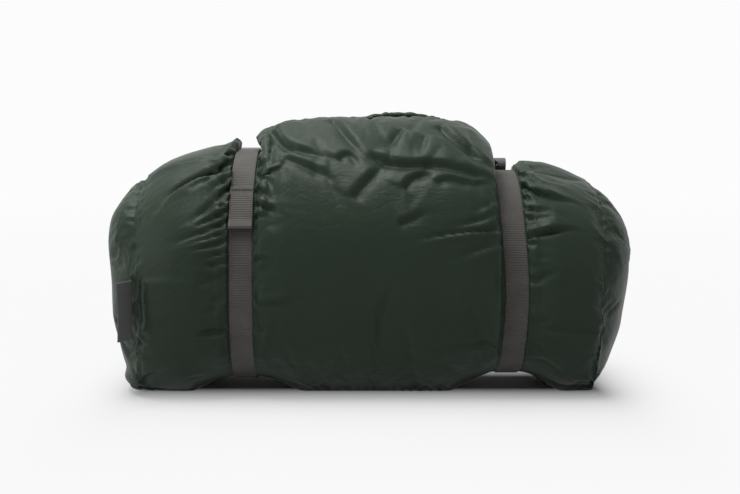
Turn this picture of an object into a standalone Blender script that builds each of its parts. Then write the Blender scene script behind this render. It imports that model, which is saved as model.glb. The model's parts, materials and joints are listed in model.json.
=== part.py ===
"""A packed backpacking tent: a stuff sack held by two compression straps.

Inside lie the rolled inner tent, the rainfly folded round it, two folding poles in their bag,
a stake bag with its stakes, two guyline hanks and a pole repair sleeve.

Axes: X runs along the sack, -Y is its front and +Z is up. The origin is on the ground under its
middle. Sizes are in metres.
"""

import math

import bmesh
import bpy
from mathutils import Matrix, Vector

MM = 0.001

# Clearances
GAP = 0.3 * MM  # between pieces that lie on each other
SLIDE_GAP = 0.4 * MM  # between pieces that slide in each other

# The stuff sack's outer shape
SEAM_X = 200 * MM  # from the middle to the seam of each end panel
LEFT_BULGE = 34 * MM  # how far each end panel swells past its seam
RIGHT_BULGE = 37 * MM
SACK_DEPTH = 217 * MM
SEAM_DEPTH = 186 * MM
LEFT_SEAM_HEIGHT = 190 * MM
RIGHT_SEAM_HEIGHT = 183 * MM
LEFT_LOBE_HEIGHT = 220 * MM
RIGHT_LOBE_HEIGHT = 204 * MM
CROWN_HEIGHT = 243 * MM
SHOULDER = 9 * MM  # from a waist's edge to the swelling beside it
WAIST_DEPTH = 200 * MM  # under each strap
LEFT_WAIST_TOP = 210 * MM
RIGHT_WAIST_TOP = 193 * MM
WAIST_LIFT = 9 * MM  # from the ground to the sack under a strap
FLAT_PRESS = 3 * MM  # how much of the round underside is pressed flat
ROUND_TOP = 2.15  # exponent of the upper half's superellipse
ROUND_FOOT = 2.9  # and of the lower half's
LEFT_END_ROUND = 2.4  # and of the end panels' swelling
RIGHT_END_ROUND = 1.8
END_CENTRE = 0.56  # height of an end panel's middle, as a share of the seam's
END_SHARES = (1, 0.985, 0.93, 0.8, 0.5)
CLOTH = 1.0 * MM
RING_POINTS = 28

# The mouth along the top of the crown, and its gathered hem
MOUTH_LEFT = -84 * MM
MOUTH_RIGHT = 71 * MM
MOUTH_Y = 12 * MM
MOUTH_WIDTH = 8 * MM
HEM_RADIUS = 3.4 * MM
HEM_WALL = 1.1 * MM
HEM_TO_MOUTH = 4.6 * MM  # from the mouth's edge to the middle of the hem
HEM_TURN = 16  # degrees that each end of the hem turns round the mouth's right end
HEM_PUCKERS = 7  # along each side
PUCKER_HEIGHT = 1.0 * MM
DRAWCORD_RADIUS = 1.1 * MM

# Compression straps
LEFT_STRAP_X = -109 * MM
RIGHT_STRAP_X = 120 * MM
WEB_WIDTH = 20 * MM
WEB = 1.6 * MM  # webbing thickness
WAIST_SPARE = 2 * MM  # flat cloth left beside each buckle
LEFT_TAIL = 194 * MM  # from the buckle's middle to the free end, along the sack
RIGHT_TAIL = 96 * MM
TAIL_HEM = 38 * MM  # the free end is folded back and sewn this far
SEWN_END = 40 * MM  # from the buckle's middle to the end of the sewn loop
SEWN_RAMP = 8 * MM  # the sewn loop rises over the buckle's bar in this length

# Side-release buckles. Their v runs from the latching half (-) to the fixed half (+), and w up
BUCKLE_WIDTH = 29 * MM
LEFT_BUCKLE_BACK = 59 * MM  # behind the sack's middle
RIGHT_BUCKLE_BACK = 84 * MM
SHELL_FRONT = -12 * MM
SHELL_BACK = 14 * MM
SHELL_HEIGHT = 9.8 * MM
SHELL_WALL = 2.3 * MM
WINDOW_INSET = 4 * MM
LOOP_BAR = 3.6 * MM
LOOP_SLOT = 5.0 * MM
TONGUE = 20 * MM  # reach of the middle prong into the shell
SIDE_PRONG = 17 * MM
PRONG = 3.5 * MM
LADDER_BASE = 3.0 * MM
LADDER_BAR = 3.5 * MM
LADDER_SLOT = 3.5 * MM
RAIL_HEIGHT = 5.0 * MM
LIP_GAP = 7.5 * MM  # between the ladder bar and the lifted lip
LIP = 4.0 * MM
LIP_RISE = 2.6 * MM  # of the lip's underside above the latch's
WEB_SPARE = 1.0 * MM  # beside the webbing in a slot

# Cord lock on the drawcord, lying across the right strap
LOCK_RADIUS = 6.3 * MM
LOCK_END_X = 125 * MM
LOCK_BACK = 21 * MM  # behind the sack's middle
LOCK_CUP = 14.5 * MM
LOCK_HEAD = 3.5 * MM
LOCK_TRAVEL = 2.5 * MM
LOCK_SLIDE = 12 * MM  # along the drawcord
LOCK_WALL = 1.5 * MM
LOCK_CORDS = 10.2 * MM  # from the closed end to the middle of the cords
LOCK_HOLE_HEIGHT = 3.0 * MM
SPRING_WIRE = 0.3 * MM  # radius
SPRING_COIL = 3.0 * MM
SPRING_TURNS = 3
KNOT_RADIUS = 3.4 * MM
KNOT_DROP = 4 * MM  # below the line of the cords through the lock
LEG_GAP = 0.4 * MM  # between the two legs
LEG_STEP = 3.5 * MM  # between the points along a leg
LEG_LIFT = 3.0 * MM  # of a leg's middle above the crown

# Label and haul loop on the left end
LABEL_HEIGHT = 50 * MM
LABEL_REACH = 21 * MM
LABEL_FOOT = 54 * MM  # from the ground
LABEL_THICKNESS = 1.0 * MM
LABEL_TURN = 30  # degrees from straight forwards
HAUL_WIDTH = 24 * MM
HAUL_RISE = 4.5 * MM
HAUL_FOOT = 72 * MM  # from the ground
HAUL_TOP = 134 * MM
HAUL_TAB = 12 * MM  # the sewn part at each end

# What is rolled up inside
FLY_SPARE = 0.5 * MM
ROLL_WIDTH = 156 * MM
ROLL_HEIGHT = 140 * MM
ROLL_Z = 97 * MM
ROLL_LENGTH = 396 * MM
ROLL_POINTS = 28
CORE_WIDTH = 96 * MM
CORE_HEIGHT = 49 * MM
CORE_CORNER = 10 * MM

# Poles
POLE_BAG_WALL = 0.8 * MM
POLE_RADIUS = 4.35 * MM
POLE_BORE = 3.75 * MM
SECTION_LENGTH = 356 * MM
POLE_ROWS = (3, 4, 5, 4, 3)
FERRULE_RADIUS = 3.6 * MM
FERRULE_BORE = 2.6 * MM
FERRULE_OUT = 14 * MM
SHOCK_CORD_RADIUS = 1.2 * MM
SHOCK_TURN = 3 * MM
TIP_LENGTH = 12 * MM
TIP_RADIUS = 3.9 * MM
TIP_PLUG = 8 * MM  # of a plug tip inside its socket
TIP_WALL = 1.5 * MM

# Stakes and small parts
STAKE_BAG = (190 * MM, 38 * MM, 18 * MM)
STAKE_BAG_WALL = 1.0 * MM
STAKE_LENGTH = 165 * MM
STAKE_POINT = 14 * MM
STAKE_FIN = 5.2 * MM
STAKE_SHEET = 1.5 * MM
STAKE_COLUMNS = 3
STAKE_ROWS = 2
SLEEVE_LENGTH = 120 * MM
SLEEVE_RADIUS = 5.6 * MM
HANK = (90 * MM, 26 * MM, 16 * MM)

NEAR = BUCKLE_WIDTH / 2 + WAIST_SPARE  # half the length of the flat waist under a strap
WEB_LEVEL = GAP + WEB / 2  # middle of the first layer of webbing above the sack
LAYER = WEB + GAP
SECOND_LEVEL = WEB_LEVEL + LAYER
LATCH_LOW = WEB + 2 * GAP  # underside of the latching half, which slides over the webbing
LOOP_LOW = WEB + 2 * GAP  # underside of the fixed half's webbing bar


def material(name, colour, roughness, metallic=0.0):
    made = bpy.data.materials.new(name)
    made.use_nodes = True
    shader = made.node_tree.nodes["Principled BSDF"]
    shader.inputs["Base Color"].default_value = (*colour, 1)
    shader.inputs["Roughness"].default_value = roughness
    shader.inputs["Metallic"].default_value = metallic
    return made


def collection(name):
    made = bpy.data.collections.new(name)
    bpy.context.scene.collection.children.link(made)
    return made


for old in list(bpy.data.objects):
    bpy.data.objects.remove(old)
TENT = collection("packed_tent")
CUTTERS = collection("cutters")
CLOTH_GREEN = material("green_coated_nylon", (0.035, 0.047, 0.036), 0.42)
FLY_CLOTH = material("grey_fly_cloth", (0.32, 0.34, 0.33), 0.5)
INNER_CLOTH = material("pale_inner_cloth", (0.62, 0.6, 0.52), 0.7)
WEBBING = material("grey_webbing", (0.1, 0.1, 0.092), 0.75)
DARK_WEBBING = material("dark_webbing", (0.03, 0.032, 0.036), 0.8)
LABEL_CLOTH = material("label_cloth", (0.055, 0.058, 0.062), 0.8)
PLASTIC = material("black_plastic", (0.02, 0.02, 0.021), 0.45)
CORD_BLACK = material("black_cord", (0.015, 0.015, 0.017), 0.85)
POLE_METAL = material("anodised_pole", (0.45, 0.46, 0.48), 0.3, 1.0)
STAKE_METAL = material("anodised_stake", (0.35, 0.05, 0.03), 0.35, 1.0)
SPRING_STEEL = material("spring_steel", (0.55, 0.55, 0.55), 0.3, 1.0)
GUYLINE = material("guyline", (0.5, 0.48, 0.1), 0.8)


# Helpers that make one object each


def add(name, data, finish=None, parent=None, helper=False):
    obj = bpy.data.objects.new(name, data)
    (CUTTERS if helper else TENT).objects.link(obj)
    if finish is not None:
        data.materials.append(finish)
    obj.parent = parent
    if helper:
        obj.hide_render = True
        obj.display_type = "WIRE"
    return obj


def from_bmesh(name, bm, finish, parent, helper):
    bmesh.ops.recalc_face_normals(bm, faces=bm.faces)
    mesh = bpy.data.meshes.new(name)
    bm.to_mesh(mesh)
    bm.free()
    return add(name, mesh, finish, parent, helper)


def block(name, low, high, finish=None, parent=None, bevel=0.0, helper=False):
    """A box from its low to its high corner, in the parent's axes."""
    low, high = Vector(low), Vector(high)
    bm = bmesh.new()
    bmesh.ops.create_cube(bm, size=1)
    bmesh.ops.scale(bm, vec=high - low, verts=bm.verts)
    bmesh.ops.translate(bm, vec=(low + high) / 2, verts=bm.verts)
    if bevel:
        bmesh.ops.bevel(bm, geom=bm.edges, offset=bevel, segments=1, affect="EDGES")
    return from_bmesh(name, bm, finish, parent, helper)


def loft(name, rings, finish=None, parent=None, helper=False):
    """A closed solid through rings of as many points, with a flat face on the first and the last."""
    bm = bmesh.new()
    rows = [[bm.verts.new(point) for point in ring] for ring in rings]
    count = len(rings[0])
    bm.faces.new(rows[0])
    bm.faces.new(rows[-1][::-1])
    for row, after in zip(rows, rows[1:]):
        for j in range(count):
            k = (j + 1) % count
            bm.faces.new((row[j], after[j], after[k], row[k]))
    return from_bmesh(name, bm, finish, parent, helper)


def turned(name, profile, steps, finish, parent=None):
    """A turned shape about its own Z, from (radius, z) points that run down its outer side."""
    last = len(profile) - 1
    edges = [(i, i + 1) for i in range(last)]
    if profile[0][0] > 0:
        edges.append((last, 0))
    mesh = bpy.data.meshes.new(name)
    mesh.from_pydata([(radius, 0, z) for radius, z in profile], edges, [])
    obj = add(name, mesh, finish, parent)
    screw = obj.modifiers.new("turn", "SCREW")
    screw.steps = screw.render_steps = steps
    screw.use_merge_vertices = True
    screw.merge_threshold = 0.01 * MM
    return obj


def tube(name, points, radius, finish, parent=None, capped=True):
    """A round cord or wire along points, with six sides."""
    curve = bpy.data.curves.new(name, "CURVE")
    curve.dimensions = "3D"
    curve.bevel_depth = radius
    curve.bevel_resolution = 1
    curve.use_fill_caps = capped
    spline = curve.splines.new("POLY")
    spline.points.add(len(points) - 1)
    for point, place in zip(spline.points, points):
        point.co = (*place, 1)
    return add(name, curve, finish, parent)


def outline(name, loops, width, finish, parent=None, plane="YZ"):
    """A flat outline with holes, drawn in that plane and extruded to width."""
    curve = bpy.data.curves.new(name, "CURVE")
    curve.dimensions = "2D"
    curve.fill_mode = "BOTH"
    curve.extrude = width / 2
    for loop in loops:
        spline = curve.splines.new("POLY")
        spline.points.add(len(loop) - 1)
        for point, (a, b) in zip(spline.points, loop):
            point.co = (a, b, 0, 1)
        spline.use_cyclic_u = True
    obj = add(name, curve, finish, parent)
    obj.rotation_euler = (math.pi / 2, 0, math.pi / 2 if plane == "YZ" else 0)
    return obj


def combine(obj, operation, *others):
    for other in others:
        boolean = obj.modifiers.new(operation.lower(), "BOOLEAN")
        boolean.operation = operation
        boolean.object = other
    return obj


def shade(obj, angle=35):
    obj.data.shade_smooth()
    obj.data.set_sharp_from_angle(angle=math.radians(angle))
    return obj


def smooth_path(points, spacing):
    """Points about that far apart along a smooth curve through the given ones."""
    points = [Vector(p) for p in points]
    spans = [(b - a).length for a, b in zip(points, points[1:])]
    ways = [(points[1] - points[0]) / spans[0]]
    for i in range(1, len(points) - 1):
        ways.append((points[i + 1] - points[i - 1]) / (spans[i - 1] + spans[i]))
    ways.append((points[-1] - points[-2]) / spans[-1])
    found = []
    for a, b, way_a, way_b, span in zip(points, points[1:], ways, ways[1:], spans):
        steps = max(1, round(span / spacing))
        for t in (step / steps for step in range(steps)):
            found.append(
                a * (2 * t**3 - 3 * t**2 + 1)
                + way_a * span * (t**3 - 2 * t**2 + t)
                + b * (3 * t**2 - 2 * t**3)
                + way_b * span * (t**3 - t**2)
            )
    return found + [points[-1]]


# The sack's shape


def profile_keys():
    """(x, ground clearance, top, depth) where the sack's outline changes, from left to right."""
    left, right = LEFT_STRAP_X, RIGHT_STRAP_X
    return [
        (-SEAM_X, 0, LEFT_SEAM_HEIGHT, SEAM_DEPTH),
        ((-SEAM_X + left - NEAR) / 2, 0, LEFT_LOBE_HEIGHT - 9 * MM, SACK_DEPTH - 4 * MM),
        (left - NEAR - SHOULDER, 0, LEFT_LOBE_HEIGHT, SACK_DEPTH),
        (left - NEAR, WAIST_LIFT, LEFT_WAIST_TOP, WAIST_DEPTH),
        (left + NEAR, WAIST_LIFT, LEFT_WAIST_TOP, WAIST_DEPTH),
        (left + NEAR + SHOULDER, 0, CROWN_HEIGHT - 9 * MM, SACK_DEPTH),
        (left + NEAR + 3 * SHOULDER, 0, CROWN_HEIGHT - 2 * MM, SACK_DEPTH + 2 * MM),
        (right - NEAR - 5 * SHOULDER, 0, CROWN_HEIGHT, SACK_DEPTH + 2 * MM),
        (right - NEAR - 2 * SHOULDER, 0, CROWN_HEIGHT - 9 * MM, SACK_DEPTH + 1 * MM),
        (right - NEAR - SHOULDER / 2, 0, CROWN_HEIGHT - 25 * MM, SACK_DEPTH),
        (right - NEAR, WAIST_LIFT, RIGHT_WAIST_TOP, WAIST_DEPTH),
        (right + NEAR, WAIST_LIFT, RIGHT_WAIST_TOP, WAIST_DEPTH),
        (right + NEAR + SHOULDER, 0, RIGHT_LOBE_HEIGHT, SACK_DEPTH - 4 * MM),
        (SEAM_X, 0, RIGHT_SEAM_HEIGHT, SEAM_DEPTH),
    ]


RING_COUNTS = (2, 2, 2, 1, 2, 2, 3, 2, 2, 2, 1, 2, 3)


def steady_slopes(xs, values):
    """Slopes at the keys for a curve through them that never overshoots."""
    rises = [(values[i + 1] - values[i]) / (xs[i + 1] - xs[i]) for i in range(len(xs) - 1)]
    slopes = [rises[0]]
    for before, after in zip(rises, rises[1:]):
        slopes.append(0 if before * after <= 0 else 2 * before * after / (before + after))
    return slopes + [rises[-1]]


def profile(x):
    """(ground clearance, top, depth) of the sack at x, between its seams."""
    keys = profile_keys()
    xs = [key[0] for key in keys]
    x = min(max(x, xs[0]), xs[-1])
    i = max(k for k in range(len(xs) - 1) if xs[k] <= x)
    span = xs[i + 1] - xs[i]
    t = (x - xs[i]) / span
    found = []
    for column in (1, 2, 3):
        values = [key[column] for key in keys]
        slopes = steady_slopes(xs, values)
        found.append(
            (2 * t**3 - 3 * t**2 + 1) * values[i]
            + (t**3 - 2 * t**2 + t) * span * slopes[i]
            + (3 * t**2 - 2 * t**3) * values[i + 1]
            + (t**3 - t**2) * span * slopes[i + 1]
        )
    return found


def power(value, exponent):
    return math.copysign(abs(value) ** exponent, value)


def ring_angles():
    """Angles from the mouth's front edge, down the front and round to the mouth's back edge."""
    half = SACK_DEPTH / 2
    front, back = (
        math.acos(power((MOUTH_Y + side * MOUTH_WIDTH / 2) / half, ROUND_TOP / 2))
        for side in (-1, 1)
    )
    sweep = back + 2 * math.pi - front
    return [front + sweep * i / (RING_POINTS - 1) for i in range(RING_POINTS)]


def section(x):
    """(y, z) points round the sack's section at x."""
    low, top, depth = profile(x)
    middle, rise = (top + low - FLAT_PRESS) / 2, (top - low + FLAT_PRESS) / 2
    points = []
    for angle in ring_angles():
        bend = 2 / (ROUND_TOP if math.sin(angle) > 0 else ROUND_FOOT)
        y = depth / 2 * power(math.cos(angle), bend)
        z = middle + rise * power(math.sin(angle), bend)
        points.append((y, max(z, low)))
    return points


def surface_top(x, y):
    """Height of the sack's upper side at (x, y)."""
    points = sorted(p for p in section(x) if p[1] > profile(x)[1] / 2)
    for (y0, z0), (y1, z1) in zip(points, points[1:]):
        if y0 <= y <= y1:
            return z0 + (z1 - z0) * (y - y0) / (y1 - y0)
    return points[0][1]


def stations():
    """Where the sack's rings stand along X: closer together where the outline turns."""
    keys = [key[0] for key in profile_keys()]
    found = []
    for start, end, steps in zip(keys, keys[1:], RING_COUNTS):
        found += [start + (end - start) * i / steps for i in range(steps)]
    return found + [keys[-1]]


def end_rings(side):
    """Rings of an end panel from its seam outwards, and its middle point."""
    base = section(side * SEAM_X)
    low, high = min(z for _, z in base), max(z for _, z in base)
    centre = low + (high - low) * END_CENTRE
    bulge = (LEFT_BULGE if side < 0 else RIGHT_BULGE) - GAP
    bend = LEFT_END_ROUND if side < 0 else RIGHT_END_ROUND
    rings = []
    for share in END_SHARES:
        x = side * (SEAM_X + GAP + bulge * (1 - share**bend) ** (1 / bend))
        rings.append([(x, y * share, centre + (z - centre) * share) for y, z in base])
    return rings, (side * (SEAM_X + GAP + bulge), 0, centre)


def sheet_mesh(rings, pole=None, hole=lambda i, j: False, flip=False):
    """An open sheet through closed rings of points, with an optional point past the last ring."""
    bm = bmesh.new()
    rows = [[bm.verts.new(point) for point in ring] for ring in rings]
    count = len(rings[0])
    faces = []
    for i, (row, after) in enumerate(zip(rows, rows[1:])):
        for j in range(count):
            if not hole(i, j):
                k = (j + 1) % count
                faces.append(bm.faces.new((row[j], row[k], after[k], after[j])))
    if pole is not None:
        tip = bm.verts.new(pole)
        for j in range(count):
            faces.append(bm.faces.new((rows[-1][j], rows[-1][(j + 1) % count], tip)))
    if flip:
        bmesh.ops.reverse_faces(bm, faces=faces)
    bm.normal_update()
    return bm, rows


def cloth_shell(name, rings, **options):
    bm, _ = sheet_mesh(rings, **options)
    mesh = bpy.data.meshes.new(name)
    bm.to_mesh(mesh)
    bm.free()
    obj = add(name, mesh, CLOTH_GREEN)
    solidify = obj.modifiers.new("cloth", "SOLIDIFY")
    solidify.thickness = CLOTH
    solidify.offset = -1
    solidify.use_even_offset = True
    return shade(obj, 60)


def body_rings():
    return [[(x, y, z) for y, z in section(x)] for x in stations()]


def make_sack():
    places = stations()

    def is_mouth(i, j):
        return j == RING_POINTS - 1 and MOUTH_LEFT <= places[i] and places[i + 1] <= MOUTH_RIGHT

    cloth_shell("sack_body", body_rings(), hole=is_mouth)
    for name, side in (("sack_end_left", -1), ("sack_end_right", 1)):
        rings, pole = end_rings(side)
        cloth_shell(name, rings, pole=pole, flip=side < 0)


# The gathered mouth and its drawcord


def mouth_path(pucker):
    """Points along the middle of the hem, from its right front end round to its right back end."""
    inside = [x for x in stations() if MOUTH_LEFT <= x <= MOUTH_RIGHT]
    left, right = inside[0], inside[-1]
    reach = MOUTH_WIDTH / 2 + HEM_TO_MOUTH
    steps = 2 * HEM_PUCKERS
    turn = math.radians(HEM_TURN)
    flat = [(right + reach * math.sin(a), -reach * math.cos(a)) for a in (turn, turn / 2)]
    flat += [(right + (left - right) * i / steps, -reach) for i in range(steps + 1)]
    for i in range(1, 5):
        a = math.pi * i / 5
        flat.append((left - reach * math.sin(a), -reach * math.cos(a)))
    flat += [(left + (right - left) * i / steps, reach) for i in range(steps + 1)]
    flat += [(right + reach * math.sin(a), reach * math.cos(a)) for a in (turn / 2, turn)]
    points = []
    for i, (x, y) in enumerate(flat):
        y += MOUTH_Y
        near = (-HEM_RADIUS, 0, HEM_RADIUS)
        height = max(surface_top(x + dx, y + dy) for dx in near for dy in near)
        points.append(Vector((x, y, height + HEM_RADIUS + GAP + pucker * (i % 2))))
    return points


def make_mouth():
    hem = tube("mouth_hem", mouth_path(PUCKER_HEIGHT), HEM_RADIUS, CLOTH_GREEN, capped=False)
    hem.data.bevel_resolution = 2
    solidify = hem.modifiers.new("cloth", "SOLIDIFY")
    solidify.thickness = HEM_WALL
    solidify.offset = -1
    path = mouth_path(PUCKER_HEIGHT / 2)
    tube("drawcord_loop", path, DRAWCORD_RADIUS, CORD_BLACK)
    make_legs(path)


def lock_seat():
    """The lock's axis where it crosses the right strap: its y and z, and the sack's slope there."""
    points = sorted(p for p in section(RIGHT_STRAP_X) if p[1] > RIGHT_WAIST_TOP / 2)
    for (y0, z0), (y1, z1) in zip(points, points[1:]):
        if y0 <= LOCK_BACK < y1:
            slope = math.atan2(z1 - z0, y1 - y0)
            height = z0 + (z1 - z0) * (LOCK_BACK - y0) / (y1 - y0)
            level = GAP + WEB + GAP + LOCK_RADIUS
            return LOCK_BACK - level * math.sin(slope), height + level * math.cos(slope), slope
    raise ValueError("the lock lies off the strap")


def knot_place():
    y, z, slope = lock_seat()
    reach = LOCK_RADIUS + LOCK_SLIDE + 13 * MM
    back, rise = reach * math.cos(slope), reach * math.sin(slope)
    return Vector((LOCK_END_X - LOCK_CORDS, y + back, z + rise - KNOT_DROP))


def leg_points(path, side):
    """One free leg of the drawcord: from the hem, through the lock and on to the knot."""
    y, z, slope = lock_seat()
    offset = side * (DRAWCORD_RADIUS + LEG_GAP / 2)
    along = Vector((0, math.cos(slope), math.sin(slope)))
    seat = Vector((LOCK_END_X - LOCK_CORDS + offset, y, z))
    start, before = (path[0], path[1]) if side > 0 else (path[-1], path[-2])
    way = (start - before).normalized()
    clear = LOCK_RADIUS + 1 * MM
    straight = 4 * MM
    entry = seat - along * clear
    leave = seat + along * (clear + LOCK_SLIDE)
    over_x = RIGHT_STRAP_X - NEAR - SHOULDER / 2
    swing = Vector((-6 * MM, side * -2 * MM, 5 * MM))
    approach = [start + way * GAP, start + way * LEG_STEP]
    for share in (0.25, 0.5, 0.75, 1):
        x = start.x + (over_x - start.x) * share
        y = start.y + (entry.y - 8 * MM - side * 3 * MM - start.y) * share
        approach.append(Vector((x, y, surface_top(x, y) + LEG_LIFT)))
    approach += [entry - along * 9 * MM + swing, entry - along * straight, entry]
    end = knot_place() + Vector((offset, -KNOT_RADIUS - 2 * GAP, 0))
    beyond = [leave, leave + along * straight, end]
    return smooth_path(approach, LEG_STEP) + smooth_path(beyond, LEG_STEP)


def make_legs(path):
    for name, side in (("drawcord_leg_a", 1), ("drawcord_leg_b", -1)):
        tube(name, leg_points(path, side), DRAWCORD_RADIUS, CORD_BLACK)
    bm = bmesh.new()
    bmesh.ops.create_uvsphere(bm, u_segments=10, v_segments=6, radius=KNOT_RADIUS)
    bmesh.ops.rotate(bm, matrix=Matrix.Rotation(math.pi / 2, 3, "X"), verts=bm.verts)
    knot = from_bmesh("drawcord_knot", bm, CORD_BLACK, None, False)
    knot.location = knot_place()


def make_lock():
    y, z, slope = lock_seat()
    frame = add("lock_frame", None)
    # The frame's Z runs along the lock to its closed end, and its Y along the cords, backwards.
    frame.matrix_local = (
        Matrix.Translation((LOCK_END_X, y, z))
        @ Matrix.Rotation(slope, 4, "X")
        @ Matrix.Rotation(math.pi / 2, 4, "Y")
    )
    bore = LOCK_RADIUS - LOCK_WALL
    shaft = bore - SLIDE_GAP
    edge = 0.5 * MM
    barrel = turned(
        "cord_lock_barrel",
        [
            (0, 0),
            (LOCK_RADIUS - edge, 0),
            (LOCK_RADIUS, -edge),
            (LOCK_RADIUS, -LOCK_CUP),
            (bore, -LOCK_CUP),
            (bore, -LOCK_WALL),
            (0, -LOCK_WALL),
        ],
        16,
        PLASTIC,
        frame,
    )
    half = 2 * DRAWCORD_RADIUS + LEG_GAP / 2 + GAP
    hole_top = -LOCK_CORDS + half
    nose = hole_top + LOCK_WALL
    head = -LOCK_CUP - LOCK_TRAVEL - SLIDE_GAP
    plunger = turned(
        "cord_lock_plunger",
        [
            (0, nose),
            (shaft, nose),
            (shaft, head),
            (LOCK_RADIUS, head),
            (LOCK_RADIUS, head - LOCK_HEAD + edge),
            (LOCK_RADIUS - edge, head - LOCK_HEAD),
            (0, head - LOCK_HEAD),
        ],
        16,
        PLASTIC,
        frame,
    )
    for piece, spare in ((barrel, 0), (plunger, LOCK_TRAVEL + GAP)):
        hole = block(
            f"{piece.name}_hole",
            (-LOCK_HOLE_HEIGHT / 2, -2 * LOCK_RADIUS, -LOCK_CORDS - half - spare),
            (LOCK_HOLE_HEIGHT / 2, 2 * LOCK_RADIUS, hole_top),
            parent=frame,
            helper=True,
        )
        combine(piece, "DIFFERENCE", hole)
    start, end = nose + GAP + SPRING_WIRE, -LOCK_WALL - GAP - SPRING_WIRE
    count = SPRING_TURNS * 8
    turns = [
        (
            SPRING_COIL * math.cos(2 * math.pi * i / 8),
            SPRING_COIL * math.sin(2 * math.pi * i / 8),
            start + (end - start) * i / count,
        )
        for i in range(count + 1)
    ]
    tube("cord_lock_spring", turns, SPRING_WIRE, SPRING_STEEL, frame)


# Webbing that follows the sack


class Girth:
    """The closed line of the sack's section under a strap, measured from a buckle's seat.

    Distances run towards the fixed half of the buckle, which is +v. In Y and Z, along is +v, out
    points away from the sack, and seat is the middle of the flat that the buckle lies on.
    """

    def __init__(self, x, back, forwards):
        points = [Vector(p) for p in section(x)]
        if not forwards:
            points.reverse()
        count = len(points)
        centre = sum(points, Vector((0, 0))) / count
        flats = []
        for i, point in enumerate(points):
            middle = (point + points[(i + 1) % count]) / 2
            if middle.y > centre.y:
                flats.append((abs(middle.x - back), i, middle))
        _, first, self.seat = min(flats, key=lambda flat: flat[0])
        first = (first + 1) % count
        self.points = points[first:] + points[:first]
        self.along = (self.points[0] - self.seat).normalized()
        self.hand = 1
        if (self.seat - centre).dot(self.side(self.along)) < 0:
            self.hand = -1
        self.out = self.side(self.along)
        self.length = sum((p - self.points[i - 1]).length for i, p in enumerate(self.points))

    def side(self, way):
        """The outward side of a line that runs that way."""
        return Vector((-way.y, way.x)) * self.hand

    def at(self, v, w):
        return self.seat + self.along * v + self.out * w

    def corners(self, level):
        """(distance, point) of each corner of the line at that level above the sack."""
        distance = (self.points[0] - self.seat).length
        found = []
        for i, point in enumerate(self.points):
            after = self.points[(i + 1) % len(self.points)]
            ways = [(point - self.points[i - 1]).normalized(), (after - point).normalized()]
            sides = [self.side(way) for way in ways]
            bisector = (sides[0] + sides[1]).normalized()
            found.append((distance, point + bisector * level / bisector.dot(sides[0])))
            distance += (after - point).length
        return found

    def walk(self, level, start, end):
        """Points at that level from distance start to distance end."""
        laps = [(d + lap * self.length, p) for lap in (-1, 0, 1) for d, p in self.corners(level)]

        def point_at(distance):
            for (d0, p0), (d1, p1) in zip(laps, laps[1:]):
                if d0 <= distance <= d1:
                    return p0.lerp(p1, (distance - d0) / (d1 - d0))
            raise ValueError("past the end of the girth")

        low, high = min(start, end), max(start, end)
        inner = [p for d, p in laps if low + WEB < d < high - WEB]
        points = [point_at(low)] + inner + [point_at(high)]
        return points if start < end else points[::-1]


def ribbon(name, path, finish, parent=None, width=WEB_WIDTH, plane="YZ"):
    """Webbing whose middle follows path, a list of points in that plane."""
    left, right = [], []
    for i, point in enumerate(path):
        ways = []
        if i > 0:
            ways.append((point - path[i - 1]).normalized())
        if i + 1 < len(path):
            ways.append((path[i + 1] - point).normalized())
        sides = [Vector((-way.y, way.x)) for way in ways]
        bisector = (sides[0] + sides[-1]).normalized()
        reach = bisector * WEB / 2 / bisector.dot(sides[0])
        left.append(tuple(point + reach))
        right.append(tuple(point - reach))
    return outline(name, [left + right[::-1]], width, finish, parent, plane)


def ladder():
    """The far and near v of the latching half's base, bar and lip."""
    base = (SHELL_FRONT - SLIDE_GAP - LADDER_BASE, SHELL_FRONT - SLIDE_GAP)
    bar = (base[0] - LADDER_SLOT - LADDER_BAR, base[0] - LADDER_SLOT)
    lip = (bar[0] - LIP_GAP - LIP, bar[0] - LIP_GAP)
    return base, bar, lip


def make_webbing(side, frame, girth, tail_length):
    """The sewn webbing round the sack, and the tail with its turn over the ladder's bar."""
    _, bar, _ = ladder()
    loop_v = SHELL_BACK + LOOP_SLOT - WEB / 2 - GAP
    past_v = SHELL_BACK + LOOP_SLOT + LOOP_BAR + GAP + WEB / 2
    over = LOOP_LOW + LOOP_BAR + GAP + WEB / 2
    ramp_v = past_v + SEWN_RAMP
    web_end = bar[1] + GAP + WEB
    path = girth.walk(SECOND_LEVEL, SEWN_END, ramp_v)
    path += [girth.at(past_v, over), girth.at(loop_v, over), girth.at(loop_v, WEB_LEVEL)]
    path += girth.walk(WEB_LEVEL, ramp_v, girth.length + web_end)
    ribbon(f"{side}_strap_web", path, WEBBING, frame)

    rise_v = bar[1] + GAP + WEB / 2
    fall_v = bar[0] - GAP - WEB / 2
    top = LATCH_LOW + LADDER_BAR + GAP + WEB / 2
    path = [girth.at(rise_v, LATCH_LOW), girth.at(rise_v, top), girth.at(fall_v, top)]
    path += girth.walk(SECOND_LEVEL, fall_v - WEB, -tail_length)
    path += girth.walk(SECOND_LEVEL + LAYER, -tail_length, -tail_length + TAIL_HEM)
    ribbon(f"{side}_strap_tail", path, WEBBING, frame)


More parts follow.
